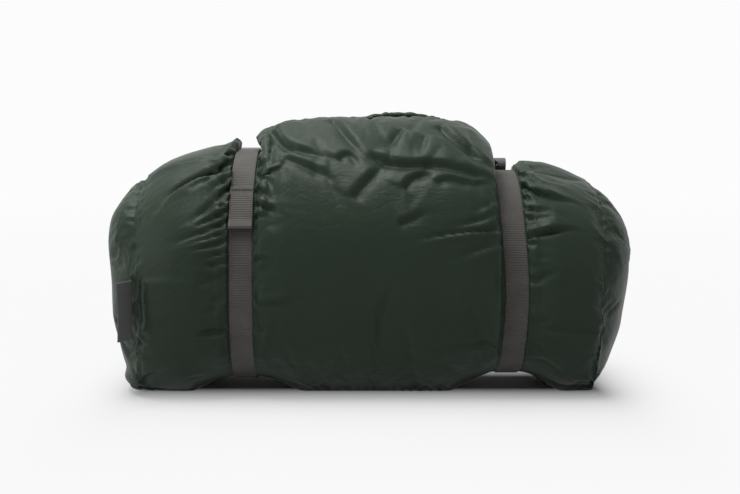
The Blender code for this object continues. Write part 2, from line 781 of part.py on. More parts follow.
def make_shell(side, seat):
    """The fixed half of the buckle, with side windows and a bar for the sewn webbing."""
    half = BUCKLE_WIDTH / 2
    top = GAP + SHELL_HEIGHT
    floor, ceiling = GAP + SHELL_WALL, top - SHELL_WALL
    low, high = (-half, SHELL_FRONT, GAP), (half, SHELL_BACK, top)
    shell = block(f"{side}_buckle_shell", low, high, PLASTIC, seat, 1.5 * MM)
    far = SHELL_BACK + LOOP_SLOT + LOOP_BAR
    slot = WEB_WIDTH / 2 + WEB_SPARE
    inside = half - SHELL_WALL
    past = 2 * MM
    near_window, far_window = SHELL_FRONT + WINDOW_INSET, SHELL_FRONT + TONGUE - WINDOW_INSET
    loop = block(
        f"{side}_shell_loop",
        (-half, SHELL_BACK - past, LOOP_LOW),
        (half, far, LOOP_LOW + LOOP_BAR),
        parent=seat,
        bevel=0.8 * MM,
        helper=True,
    )
    cuts = (
        ("slot", (-slot, SHELL_BACK, LOOP_LOW - past), (slot, SHELL_BACK + LOOP_SLOT, top)),
        ("cavity", (-inside, SHELL_FRONT - past, floor), (inside, SHELL_FRONT + TONGUE + past, ceiling)),
        ("windows", (-half - past, near_window, floor), (half + past, far_window, ceiling)),
    )
    combine(shell, "UNION", loop)
    for name, low, high in cuts:
        combine(shell, "DIFFERENCE", block(f"{side}_shell_{name}", low, high, parent=seat, helper=True))


def make_latch(side, seat):
    """The latching half: prongs that enter the shell, and the ladder that grips the webbing."""
    half = BUCKLE_WIDTH / 2
    base, bar, lip = ladder()
    low = LATCH_LOW
    floor = GAP + SHELL_WALL + SLIDE_GAP
    ceiling = GAP + SHELL_HEIGHT - SHELL_WALL - SLIDE_GAP
    rail_in = WEB_WIDTH / 2 + WEB_SPARE
    corner, far_corner = (-half, base[0], low), (half, base[1], ceiling + 1 * MM)
    latch = block(f"{side}_buckle_latch", corner, far_corner, PLASTIC, seat, 0.7 * MM)
    sunk = base[0] + LADDER_BASE / 2
    wide = rail_in + 1 * MM
    lip_half = half - 0.4 * MM
    tongue_end, prong_end = SHELL_FRONT + TONGUE, SHELL_FRONT + SIDE_PRONG
    boxes = [
        ("tongue", (-PRONG / 2, sunk, floor), (PRONG / 2, tongue_end, ceiling), 0),
        ("bar", (-wide, bar[0], low), (wide, bar[1], low + LADDER_BAR), 0.8 * MM),
        ("lip", (-lip_half, lip[0], low + LIP_RISE), (lip_half, lip[1], low + LIP_RISE + LIP), 1 * MM),
    ]
    outer = half - SHELL_WALL - SLIDE_GAP
    rail = [
        (sunk, low + 0.2 * MM),
        (sunk, low + RAIL_HEIGHT),
        (bar[0], low + RAIL_HEIGHT),
        (lip[1] - LIP / 2, low + LIP_RISE + LIP - 0.7 * MM),
        (lip[1] - LIP / 2, low + LIP_RISE + 0.7 * MM),
        (bar[0], low + 0.2 * MM),
    ]
    extras = []
    for hand, mark in ((-1, "a"), (1, "b")):
        near, far = sorted((hand * outer, hand * (outer - PRONG)))
        boxes.append((f"prong_{mark}", (near, sunk, floor), (far, prong_end, ceiling), 0.5 * MM))
        rings = [[(x, v, w) for v, w in rail] for x in (hand * (half - 0.2 * MM), hand * rail_in)]
        extras.append(loft(f"{side}_rail_{mark}", rings, parent=seat, helper=True))
    for name, low_corner, high_corner, bevel in boxes:
        piece = block(f"{side}_{name}", low_corner, high_corner, None, seat, bevel, helper=True)
        extras.append(piece)
    combine(latch, "UNION", *extras)


def make_straps():
    for side, x, back, forwards, tail in (
        ("left", LEFT_STRAP_X, LEFT_BUCKLE_BACK, False, LEFT_TAIL),
        ("right", RIGHT_STRAP_X, RIGHT_BUCKLE_BACK, True, RIGHT_TAIL),
    ):
        frame = add(f"{side}_strap_frame", None)
        frame.location = (x, 0, 0)
        girth = Girth(x, back, forwards)
        make_webbing(side, frame, girth, tail)
        seat = add(f"{side}_buckle_seat", None)
        along, out = girth.along, girth.out
        across = 1 if along.x * out.y > along.y * out.x else -1
        seat.matrix_local = Matrix(
            (
                (across, 0, 0, x),
                (0, along.x, out.x, girth.seat.x),
                (0, along.y, out.y, girth.seat.y),
                (0, 0, 0, 1),
            )
        )
        make_shell(side, seat)
        make_latch(side, seat)


# Label and haul loop


def make_label():
    """A bare tag sewn into the left seam. Its parent's Z is the fold that it swings about."""
    front = [Vector(p) for p in section(-SEAM_X) if p[0] < 0]
    near = [min(front, key=lambda p: abs(p.y - z)) for z in (LABEL_FOOT, LABEL_FOOT + LABEL_HEIGHT)]
    way = (near[1] - near[0]).normalized()
    out = Vector((-way.y, way.x))
    rise = max((p - near[0]).dot(out) for p in front)
    foot = near[0] + out * (rise + GAP + LABEL_THICKNESS / 2) + way * (LABEL_FOOT - near[0].y)
    fold = add("label_fold", None)
    lean = math.atan2(way.x, way.y)
    fold.matrix_local = Matrix.Translation((-SEAM_X, foot.x, foot.y)) @ Matrix.Rotation(-lean, 4, "X")
    half = LABEL_THICKNESS / 2
    label = block("label_tag", (-half, -LABEL_REACH, 0), (half, 0, LABEL_HEIGHT), LABEL_CLOTH, fold)
    label.rotation_euler.z = -math.radians(LABEL_TURN)


def left_wall(z):
    """X of the left end panel's middle line at that height."""
    centre = LEFT_SEAM_HEIGHT * END_CENTRE
    height = LEFT_SEAM_HEIGHT - centre if z > centre else centre
    share = abs(z - centre) / height
    rings, pole = end_rings(-1)
    places = [(s, ring[0][0]) for s, ring in zip(END_SHARES, rings)] + [(0, pole[0])]
    for (s0, x0), (s1, x1) in zip(places, places[1:]):
        if s1 <= share <= s0:
            return x0 + (x1 - x0) * (s0 - share) / (s0 - s1)
    raise ValueError("above or below the end panel")


def make_haul_loop():
    """A strip sewn to the left end at its head and foot, standing off between them."""
    level = GAP + WEB / 2
    middle = (HAUL_FOOT + HAUL_TOP) / 2
    path = [
        (HAUL_FOOT, 0),
        (HAUL_FOOT + HAUL_TAB, 0),
        (middle - HAUL_TAB, HAUL_RISE),
        (middle + HAUL_TAB, HAUL_RISE),
        (HAUL_TOP - HAUL_TAB, 0),
        (HAUL_TOP, 0),
    ]
    points = [Vector((left_wall(z) - level - rise, z)) for z, rise in path]
    ribbon("haul_loop", points, DARK_WEBBING, width=HAUL_WIDTH, plane="XZ")


# What is rolled up inside


def oval(width, height, centre_z):
    """An ellipse whose points run as the sack's rings do."""
    return [
        (width / 2 * math.cos(angle), centre_z + height / 2 * math.sin(angle))
        for angle in (math.pi / 2 + 2 * math.pi * i / ROLL_POINTS for i in range(ROLL_POINTS))
    ]


def rounded_box(width, height, corner, centre_y, centre_z):
    points = []
    for quarter, (a, b) in enumerate(((1, 1), (-1, 1), (-1, -1), (1, -1))):
        for step in range(4):
            angle = math.pi / 2 * (quarter + step / 3)
            y = centre_y + a * (width / 2 - corner) + corner * math.cos(angle)
            z = centre_z + b * (height / 2 - corner) + corner * math.sin(angle)
            points.append((y, z))
    return points


def make_rolls():
    """The rainfly fills the sack round the inner tent, which is rolled round the poles."""
    bm, rows = sheet_mesh(body_rings())
    inset = CLOTH + FLY_SPARE
    moved = {v: v.co - v.normal * inset * v.calc_shell_factor() for row in rows for v in row}
    for vert, place in moved.items():
        vert.co = place
    bore = oval(ROLL_WIDTH + 2 * GAP, ROLL_HEIGHT + 2 * GAP, ROLL_Z)
    inner = [[bm.verts.new((row[0].co.x, y, z)) for y, z in bore] for row in (rows[0], rows[-1])]
    for j in range(RING_POINTS):
        k = (j + 1) % RING_POINTS
        bm.faces.new((inner[0][j], inner[1][j], inner[1][k], inner[0][k]))
        for outer, hole in ((rows[0], inner[0]), (rows[-1], inner[1])):
            bm.faces.new((outer[j], outer[k], hole[k], hole[j]))
    from_bmesh("rainfly_roll", bm, FLY_CLOTH, None, False)
    core = rounded_box(CORE_WIDTH, CORE_HEIGHT, CORE_CORNER, 0, ROLL_Z)
    outline("inner_tent_roll", [oval(ROLL_WIDTH, ROLL_HEIGHT, ROLL_Z), core], ROLL_LENGTH, INNER_CLOTH)


# Poles in their bag


def bundle_places(pitch):
    """(across, up) of each pole section in the bundle, with its middle left empty."""
    places = []
    for row, count in enumerate(POLE_ROWS):
        up = (row - 2) * pitch * math.sqrt(3) / 2
        across = [(i - (count - 1) / 2) * pitch for i in range(count)]
        if row % 2:
            across.reverse()
        places += [(a, up) for a in across if (a, up) != (0, 0)]
    return places


def make_poles():
    pitch = 2 * POLE_RADIUS + GAP
    bag_bore = 2 * pitch + POLE_RADIUS + GAP
    bag_radius = bag_bore + POLE_BAG_WALL
    floor = ROLL_Z - CORE_HEIGHT / 2 + GAP
    centre_y = -CORE_WIDTH / 2 + GAP + bag_radius
    frame = add("pole_frame", None)
    frame.location = (0, centre_y, floor + bag_radius)
    frame.rotation_euler.y = math.pi / 2
    half = SECTION_LENGTH / 2
    room = half + FERRULE_OUT + SHOCK_TURN + 2 * MM
    turned(
        "pole_bag",
        [
            (bag_radius, room),
            (bag_radius, -room),
            (0, -room),
            (0, POLE_BAG_WALL - room),
            (bag_bore, POLE_BAG_WALL - room),
            (bag_bore, room),
        ],
        20,
        CLOTH_GREEN,
        frame,
    )
    socket = FERRULE_OUT + 3 * MM
    profile_points = [
        (FERRULE_RADIUS, half + FERRULE_OUT),
        (FERRULE_RADIUS, half),
        (POLE_RADIUS, half),
        (POLE_RADIUS, -half),
        (POLE_BORE, -half),
        (POLE_BORE, socket - half),
        (FERRULE_BORE, socket - half),
        (FERRULE_BORE, half + FERRULE_OUT),
    ]
    places = bundle_places(pitch)
    for mark, group in (("a", places[: len(places) // 2]), ("b", places[len(places) // 2 :])):
        for number, (across, up) in enumerate(group, 1):
            piece = turned(f"pole_{mark}_section_{number}", profile_points, 8, POLE_METAL, frame)
            piece.location = (up, across, 0)
            if number % 2 == 0:
                piece.rotation_euler.x = math.pi
        make_shock_cord(mark, group, half, frame)
        make_tips(mark, group, half, frame)


def make_shock_cord(mark, group, half, frame):
    """The elastic cord through a folded pole, from tip to tip."""
    turn_z = half + FERRULE_OUT + SHOCK_TURN
    route = []
    for number, (across, up) in enumerate(group, 1):
        rising = number % 2
        ends = (-turn_z, turn_z) if rising else (turn_z, -turn_z)
        route += [(up, across, z) for z in ends]
    first, last = route[0], route[-1]
    route[0] = (first[0], first[1], TIP_PLUG - half + GAP)
    route[-1] = (last[0], last[1], half + FERRULE_OUT - GAP)
    tube(f"pole_{mark}_shock_cord", route, SHOCK_CORD_RADIUS, CORD_BLACK, frame)


def make_tips(mark, group, half, frame):
    """A plug tip in the pole's first socket, and a cap tip over its last ferrule."""
    plug = turned(
        f"pole_{mark}_plug_tip",
        [
            (0, TIP_PLUG - half),
            (FERRULE_RADIUS, TIP_PLUG - half),
            (FERRULE_RADIUS, -half - GAP),
            (POLE_RADIUS, -half - GAP),
            (TIP_RADIUS, -half - TIP_LENGTH),
            (0, -half - TIP_LENGTH),
        ],
        8,
        PLASTIC,
        frame,
    )
    plug.location = (group[0][1], group[0][0], 0)
    top = half + FERRULE_OUT + GAP
    cap = turned(
        f"pole_{mark}_cap_tip",
        [
            (0, top + TIP_WALL),
            (TIP_RADIUS, top + TIP_WALL),
            (POLE_RADIUS, half + FERRULE_OUT / 2),
            (POLE_RADIUS, half + GAP),
            (POLE_BORE, half + GAP),
            (POLE_BORE, top),
            (0, top),
        ],
        8,
        PLASTIC,
        frame,
    )
    cap.location = (group[-1][1], group[-1][0], 0)


# Stakes and small parts


def stake_section(size):
    """A three-finned section, one fin up."""
    points = []
    half = STAKE_SHEET / 2
    for fin in range(3):
        angle = math.pi / 2 + fin * 2 * math.pi / 3
        way = Vector((math.cos(angle), math.sin(angle)))
        side = Vector((-way.y, way.x))
        points += [way * STAKE_FIN - side * half, way * STAKE_FIN + side * half]
        corner = half / math.sin(math.pi / 3)
        notch = angle + math.pi / 3
        points.append(Vector((math.cos(notch), math.sin(notch))) * corner)
    return [p * size for p in points]


def make_stakes():
    length, width, height = STAKE_BAG
    wall = STAKE_BAG_WALL
    floor = ROLL_Z - CORE_HEIGHT / 2 + GAP
    side_y = CORE_WIDTH / 2 - CORE_CORNER
    low = Vector((-170 * MM, side_y - width, floor))
    high = low + Vector((length, width, height))
    bag = block("stake_bag", low, high, CLOTH_GREEN, bevel=1.2 * MM)
    inside = block(
        "stake_bag_inside",
        low + Vector((wall, wall, wall)),
        high + Vector((10 * MM, -wall, -wall)),
        helper=True,
    )
    combine(bag, "DIFFERENCE", inside)
    foot = STAKE_FIN / 2 + STAKE_SHEET * math.sqrt(3) / 4
    hub = STAKE_SHEET / 2 / math.sin(math.pi / 3)
    row_height = STAKE_FIN + hub + STAKE_SHEET / 2 * math.tan(math.pi / 6) + GAP
    pitch = 2 * STAKE_FIN
    for i in range(STAKE_COLUMNS * STAKE_ROWS):
        row, column = divmod(i, STAKE_COLUMNS)
        y = (low.y + high.y) / 2 + (column - (STAKE_COLUMNS - 1) / 2) * (pitch + GAP)
        z = low.z + wall + GAP + foot + row * row_height
        start = low.x + wall + 3 * MM
        rings = []
        for x, size in ((start, 1), (start + STAKE_LENGTH - STAKE_POINT, 1), (start + STAKE_LENGTH, 0.25)):
            rings.append([(x, y + p.x, z + p.y) for p in stake_section(size)])
        loft(f"stake_{i + 1}", rings, STAKE_METAL)
    hank_x, hank_y, hank_z = HANK
    for i, mark in enumerate("ab"):
        corner = Vector((low.x + 4 * MM + i * (hank_x + 4 * MM), low.y + 5 * MM, high.z + GAP))
        far_corner = corner + Vector((hank_x, hank_y, hank_z))
        block(f"guyline_hank_{mark}", corner, far_corner, GUYLINE, bevel=5 * MM)
    sleeve = turned(
        "repair_sleeve",
        [
            (SLEEVE_RADIUS, SLEEVE_LENGTH / 2),
            (SLEEVE_RADIUS, -SLEEVE_LENGTH / 2),
            (POLE_RADIUS + SLIDE_GAP, -SLEEVE_LENGTH / 2),
            (POLE_RADIUS + SLIDE_GAP, SLEEVE_LENGTH / 2),
        ],
        12,
        POLE_METAL,
    )
    sleeve.location = (high.x + 15 * MM + SLEEVE_LENGTH / 2, side_y - width / 2, floor + SLEEVE_RADIUS)
    sleeve.rotation_euler.y = math.pi / 2


make_sack()
make_mouth()
make_lock()
make_straps()
make_label()
make_haul_loop()
make_rolls()
make_poles()
make_stakes()
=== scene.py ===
"""A packed backpacking tent as it looks: a green stuff sack held by two compression straps.

X runs along the sack, -Y is its front and +Z is up. Sizes are in metres, as in the frame.
"""

import json
import math
import random
from functools import partial

import bmesh
import bpy
import numpy as np
from mathutils import Matrix, Vector


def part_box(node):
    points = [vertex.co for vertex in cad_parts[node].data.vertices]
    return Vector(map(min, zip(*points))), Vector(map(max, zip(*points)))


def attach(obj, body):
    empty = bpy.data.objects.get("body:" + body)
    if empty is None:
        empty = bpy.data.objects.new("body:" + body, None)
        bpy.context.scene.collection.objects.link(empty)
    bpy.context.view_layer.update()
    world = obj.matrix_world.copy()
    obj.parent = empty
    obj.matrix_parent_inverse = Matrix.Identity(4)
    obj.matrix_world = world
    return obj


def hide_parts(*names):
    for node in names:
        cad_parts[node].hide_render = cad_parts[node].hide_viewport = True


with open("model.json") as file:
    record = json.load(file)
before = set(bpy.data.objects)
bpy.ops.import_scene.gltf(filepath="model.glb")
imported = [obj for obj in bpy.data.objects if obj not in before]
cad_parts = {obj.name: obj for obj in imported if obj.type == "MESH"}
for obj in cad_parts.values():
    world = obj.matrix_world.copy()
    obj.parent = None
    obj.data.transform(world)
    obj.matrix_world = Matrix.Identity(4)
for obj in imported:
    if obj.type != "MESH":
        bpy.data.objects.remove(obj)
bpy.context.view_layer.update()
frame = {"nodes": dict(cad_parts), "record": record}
MM = 0.001

# The sack's shape
SEAM_X = 200 * MM
END_BULGE = {-1: 34 * MM, 1: 37 * MM}
OUTLINE = np.array(  # x, ground clearance, top and depth, in millimetres
    [
        (-200, 0, 190, 186),
        (-162.75, 0, 211, 213),
        (-134.5, 0, 220, 217),
        (-125.5, 9, 210, 200),
        (-92.5, 9, 210, 200),
        (-83.5, 0, 234, 217),
        (-65.5, 0, 241, 219),
        (58.5, 0, 243, 219),
        (85.5, 0, 234, 218),
        (99, 0, 218, 217),
        (103.5, 9, 193, 200),
        (136.5, 9, 193, 200),
        (145.5, 0, 204, 213),
        (200, 0, 183, 186),
    ]
).T * MM
FLAT_PRESS = 3 * MM
ROUND_TOP, ROUND_FOOT = 2.15, 2.9
END_ROUND = {-1: 2.4, 1: 1.8}
END_CENTRE = 0.56
MOUTH_Y = 12 * MM
MOUTH_LEFT, MOUTH_RIGHT = -84 * MM, 71 * MM
RINGS_ALONG, RINGS_DOME, RING_POINTS = 112, 25, 190

# Straps
STRAP_X = {"left": -109 * MM, "right": 120 * MM}
WEB_WIDTH, WEB, GAP = 20 * MM, 1.6 * MM, 0.3 * MM
RIB = 2.1 * MM
TAILS = {"left": 194 * MM, "right": 96 * MM}
TAIL_HEM = 38 * MM
BUCKLES = {  # (y, z) of each buckle's seat, of the way to its fixed half, and of its way up
    "left": ((66.24 * MM, 186.75 * MM), (0.7599, -0.6501), (0.6501, 0.7599)),
    "right": ((81.1 * MM, 156.76 * MM), (-0.6124, 0.7906), (0.7906, 0.6124)),
}

# Haul loop on the left end
HAUL_WIDTH, HAUL_FOOT, HAUL_TOP = 24 * MM, 72 * MM, 134 * MM


# Shorthand. Starts, middles and reaches are in millimetres, values in metres


def eased(value):
    """0 to 1, with a soft start and end."""
    value = np.clip(value, 0, 1)
    return value * value * (3 - 2 * value)


def rising(value, start, reach):
    return eased((value - start * MM) / (reach * MM))


def falling(value, start, reach):
    return eased((start * MM - value) / (reach * MM))


def hump(value, middle, reach):
    return np.exp(-(((value - middle * MM) / (reach * MM)) ** 2))


def add_object(name, data):
    obj = bpy.data.objects.new(name, data)
    bpy.context.scene.collection.objects.link(obj)
    return obj


def unit(ways):
    """Those ways, each made one long."""
    return ways / np.maximum(np.linalg.norm(ways, axis=-1, keepdims=True), 1e-12)


def soften(line, times):
    """Round off the corners of a line or table, but keep its ends."""
    for _ in range(times):
        line[1:-1] = (line[:-2] + 2 * line[1:-1] + line[2:]) / 4
    return line


def choose(obj):
    bpy.ops.object.select_all(action="DESELECT")
    obj.select_set(True)
    bpy.context.view_layer.objects.active = obj


# Camera


def make_camera():
    data = bpy.data.cameras.new("camera")
    data.lens = LENS
    camera = add_object("camera", data)
    camera.location = CAMERA_PLACE
    camera.rotation_euler = (math.pi / 2 - CAMERA_DOWN, 0, 0)
    bpy.context.scene.camera = camera


LENS = 67.2
CAMERA_DOWN = math.radians(4.5)
CAMERA_PLACE = Vector((0, -1.256, 0.2235))
make_camera()


# Drawcord


LEG_A = (
    (61.1, 3.8, 246.3), (64.0, 4.4, 245.1), (67.2, 4.2, 244.3), (70.4, 4.0, 243.4), (73.6, 4.0, 242.2),
    (76.8, 4.1, 240.9), (79.9, 4.2, 239.4), (83.3, 4.2, 237.8), (86.6, 4.3, 236.1), (89.5, 4.4, 233.9),
    (91.6, 4.4, 231.5), (93.5, 4.5, 228.8), (95.3, 4.5, 226.1), (97.1, 4.6, 223.3), (99.0, 4.6, 220.7),
    (101.2, 4.5, 218.0), (103.4, 4.3, 215.3), (105.7, 4.1, 212.6), (107.9, 4.2, 210.1),
    (110.1, 4.8, 207.6), (112.3, 6.4, 205.3), (114.4, 8.9, 203.4), (116.1, 11.7, 201.6),
    (116.1, 15.6, 200.8), (116.1, 41.6, 195.3), (116.1, 45.5, 194.5), (116.1, 47.6, 191.9),
    (116.1, 49.4, 188.9),
)
LEG_B = (
    (61.1, 20.2, 246.2), (64.0, 19.6, 247.6), (67.1, 18.7, 245.2), (70.4, 17.9, 242.5),
    (73.5, 17.1, 241.2), (76.8, 16.2, 240.1), (79.9, 15.4, 239.0), (83.3, 14.6, 237.4),
    (86.6, 13.8, 235.8), (89.5, 13.0, 233.6), (91.6, 12.5, 231.3), (93.6, 12.0, 228.7),
    (95.4, 11.5, 226.0), (97.2, 11.0, 223.3), (99.0, 10.6, 220.6), (101.1, 10.0, 217.4),
    (103.2, 9.4, 214.0), (105.3, 8.9, 210.8), (107.5, 8.8, 207.6), (109.5, 9.3, 205.4),
    (111.7, 10.3, 203.4), (113.5, 11.7, 201.6), (113.5, 15.6, 200.8), (113.5, 41.6, 195.3),
    (113.5, 45.5, 194.5), (113.5, 47.6, 191.9), (113.5, 49.4, 188.9),
)
CORD_THICK = 2.2 * MM


def cord_curve(name, points):
    """A drawcord with its own line as centre, from points in millimetres."""
    curve = bpy.data.curves.new(name, "CURVE")
    curve.dimensions = "3D"
    curve.bevel_depth = CORD_THICK / 2
    curve.bevel_resolution = 3
    curve.use_fill_caps = True
    spline = curve.splines.new("POLY")
    spline.points.add(len(points) - 1)
    for point, place in zip(spline.points, points):
        point.co = (*(c * MM for c in place), 1)
    return add_object(name, curve)


def make_knot():
    """An overhand knot that stops both legs of the drawcord."""
    low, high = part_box("drawcord_knot")
    centre = (low + high) / 2
    size = (high - low) / 2
    points = []
    for i in range(72):
        a = 2 * math.pi * i / 72
        swing = 0.62 + 0.3 * math.cos(3 * a)
        x = centre.x + size.x * 0.82 * swing * math.cos(2 * a)
        y = centre.y + size.y * 0.82 * swing * math.sin(2 * a)
        z = centre.z + size.z * 0.5 * math.sin(3 * a)
        points.append((x / MM, y / MM, z / MM))
    knot = cord_curve("drawcord_knot_turns", points)
    knot.data.splines[0].use_cyclic_u = True
    return knot


def tucked_in(x, y, z):
    """Where a leg's point lies once the cord has sunk into the crown's shoulder, in millimetres."""
    sunk = 2.4 * min(max((100 - x) / 5, 0), 1) + 5 * math.exp(-(((x - 63) / 9) ** 2))
    pulled = 3.6 * math.exp(-(((z - 210) / 6.5) ** 2))
    return x - pulled, y, z - sunk


def make_cords():
    knot = as_mesh(make_knot())
    finish_piece(knot, "sack", "black_cord", "drawcord_knot")
    for name, points, node, others in (
        ("drawcord_leg_front", LEG_A, "drawcord_leg_a", [knot]),
        ("drawcord_leg_back", LEG_B, "drawcord_leg_b", []),
    ):
        points = [tucked_in(*point) for point in points]
        leg = cord_curve(name, points)
        finish_piece(leg, "sack", "black_cord", node)


def as_mesh(obj):
    """Turn a curve into a mesh and put its place into the mesh."""
    choose(obj)
    bpy.ops.object.convert(target="MESH")
    return bpy.context.view_layer.objects.active


def finish_piece(obj, body, slot, node=None, look=None):
    """Give a piece its look, or else its slot's material, hide the CAD node that it replaces, and hang it on
    the body that it rides on.
    """
    obj.data.materials.clear()
    obj.data.materials.append(MATERIALS[look or slot])
    if node:
        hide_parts(node)
    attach(obj, body)


# Materials


def feed(tree, node, values):
    """Link each of those inputs to the socket given for it, or set it to the value."""
    for key, value in values.items():
        if isinstance(value, bpy.types.NodeSocket):
            tree.links.new(value, node.inputs[key])
        else:
            node.inputs[key].default_value = value


def add_node(tree, kind, values, **settings):
    node = tree.nodes.new("ShaderNode" + kind)
    for key, value in settings.items():
        setattr(node, key, value)
    feed(tree, node, values)
    return node


def math_node(tree, operation, a, b=0.0):
    return add_node(tree, "Math", {0: a, 1: b}, operation=operation).outputs[0]


def maths(tree):
    """Nodes of that tree that add, take away and multiply."""
    return [partial(math_node, tree, operation) for operation in ("ADD", "SUBTRACT", "MULTIPLY")]


def noise(tree, place, scale, detail, **more):
    values = {"Vector": place, "Scale": scale, "Detail": detail, **more}
    return add_node(tree, "TexNoise", values).outputs["Fac"]


def start_group(name, *numbers):
    """A group that takes a colour, a roughness and those numbers, and the sockets that give them."""
    tree = bpy.data.node_groups.new(name, "ShaderNodeTree")
    rows = [("INPUT", label) for label in ("Colour", "Roughness", *numbers)]
    for way, label in rows + [("OUTPUT", label) for label in ("Colour", "Roughness", "Height")]:
        kind = "NodeSocketColor" if label == "Colour" else "NodeSocketFloat"
        tree.interface.new_socket(label, in_out=way, socket_type=kind)
    return tree, tree.nodes.new("NodeGroupInput").outputs


def end_group(tree, given, light, gloss, height):
    """Make the group's colour lighter or darker by light, and hand on the rest."""
    values = {"Color": given["Colour"], "Value": math_node(tree, "ADD", light, 1.0)}
    colour = add_node(tree, "HueSaturation", values).outputs[0]
    end = tree.nodes.new("NodeGroupOutput")
    feed(tree, end, {"Colour": colour, "Roughness": gloss, "Height": height})
    return tree


def make_weave_group():
    """Crossed threads in UV metres, with soft changes of tone and of gloss."""
    tree, given = start_group("crossed_threads", "Thread", "Tone change", "Crinkle")
    plus, minus, times = maths(tree)
    places = add_node(tree, "TexCoord", {}).outputs
    turns = math_node(tree, "DIVIDE", 2 * math.pi, given["Thread"])
    split = add_node(tree, "SeparateXYZ", {0: places["UV"]}).outputs
    weave = times(*(math_node(tree, "SINE", times(split[axis], turns)) for axis in ("X", "Y")))
    cloud = noise(tree, places["Object"], 26.0, 3.0, Roughness=0.55)
    speck = noise(tree, places["Object"], 420.0, 2.0)
    stretch = add_node(tree, "Mapping", {"Vector": places["UV"], "Scale": (1.0, 3.2, 1.0)})
    creases = noise(tree, stretch.outputs[0], 46.0, 4.0, Roughness=0.6, Distortion=0.8)
    tone = times(minus(cloud, 0.5), given["Tone change"])
    grain = times(minus(speck, 0.5), 0.12)
    light = plus(plus(tone, grain), times(weave, 0.035))
    gloss = plus(times(light, 0.35), given["Roughness"])
    height = plus(times(creases, given["Crinkle"]), times(weave, 0.02))
    return end_group(tree, given, light, gloss, height)


def make_rib_group():
    """Ribbed webbing in UV metres: U across it and V along it, with paler specks on its edges."""
    tree, given = start_group("webbing_ribs", "Rib", "Half width")
    plus, minus, times = maths(tree)
    uv = add_node(tree, "TexCoord", {}).outputs["UV"]
    split = add_node(tree, "SeparateXYZ", {0: uv}).outputs
    turns = math_node(tree, "DIVIDE", 2 * math.pi, given["Rib"])
    rib = math_node(tree, "SINE", times(split["Y"], turns))
    thread = math_node(tree, "SINE", times(split["X"], 2 * math.pi / (0.55 * MM)))
    across = math_node(tree, "ABSOLUTE", split["X"])
    edge = math_node(tree, "GREATER_THAN", across, minus(given["Half width"], 0.9 * MM))
    dot = times(edge, math_node(tree, "GREATER_THAN", rib, 0.55))
    grain = times(minus(noise(tree, uv, 900.0, 2.0), 0.5), 0.5)
    wear = times(minus(noise(tree, uv, 60.0, 2.0), 0.5), 0.35)
    light = plus(plus(times(rib, 0.1), times(thread, 0.05)), times(dot, 0.5))
    gloss = minus(given["Roughness"], times(wear, 0.5))
    height = plus(rib, times(thread, 0.45))
    return end_group(tree, given, plus(light, plus(grain, wear)), gloss, height)


def make_wear_group():
    """Moulded plastic or metal: fine grain, with paler, duller edges."""
    tree, given = start_group("worn_grain", "Grain scale", "Edge wear")
    plus, minus, times = maths(tree)
    place = add_node(tree, "TexCoord", {}).outputs["Object"]
    grain = noise(tree, place, given["Grain scale"], 2.0)
    cloud = noise(tree, place, 90.0, 3.0)
    point = add_node(tree, "NewGeometry", {}).outputs["Pointiness"]
    sharp = add_node(tree, "MapRange", {"Value": point, "From Min": 0.52, "From Max": 0.62})
    edge = times(times(sharp.outputs[0], cloud), given["Edge wear"])
    light = plus(times(minus(cloud, 0.5), 0.3), edge)
    gloss = plus(times(light, 0.3), given["Roughness"])
    return end_group(tree, given, light, gloss, grain)


def make_material(name, group, values, bump, bump_reach, **sockets):
    made = bpy.data.materials.new(name)
    made.use_nodes = True
    tree = made.node_tree
    found = add_node(tree, "Group", values, node_tree=group).outputs
    relief = {"Height": found["Height"], "Strength": bump, "Distance": bump_reach}
    inputs = {key.replace("_", " "): value for key, value in sockets.items()}
    inputs["Base Color"] = found["Colour"]
    inputs["Roughness"] = found["Roughness"]
    inputs["Normal"] = add_node(tree, "Bump", relief).outputs[0]
    feed(tree, tree.nodes["Principled BSDF"], inputs)
    return made


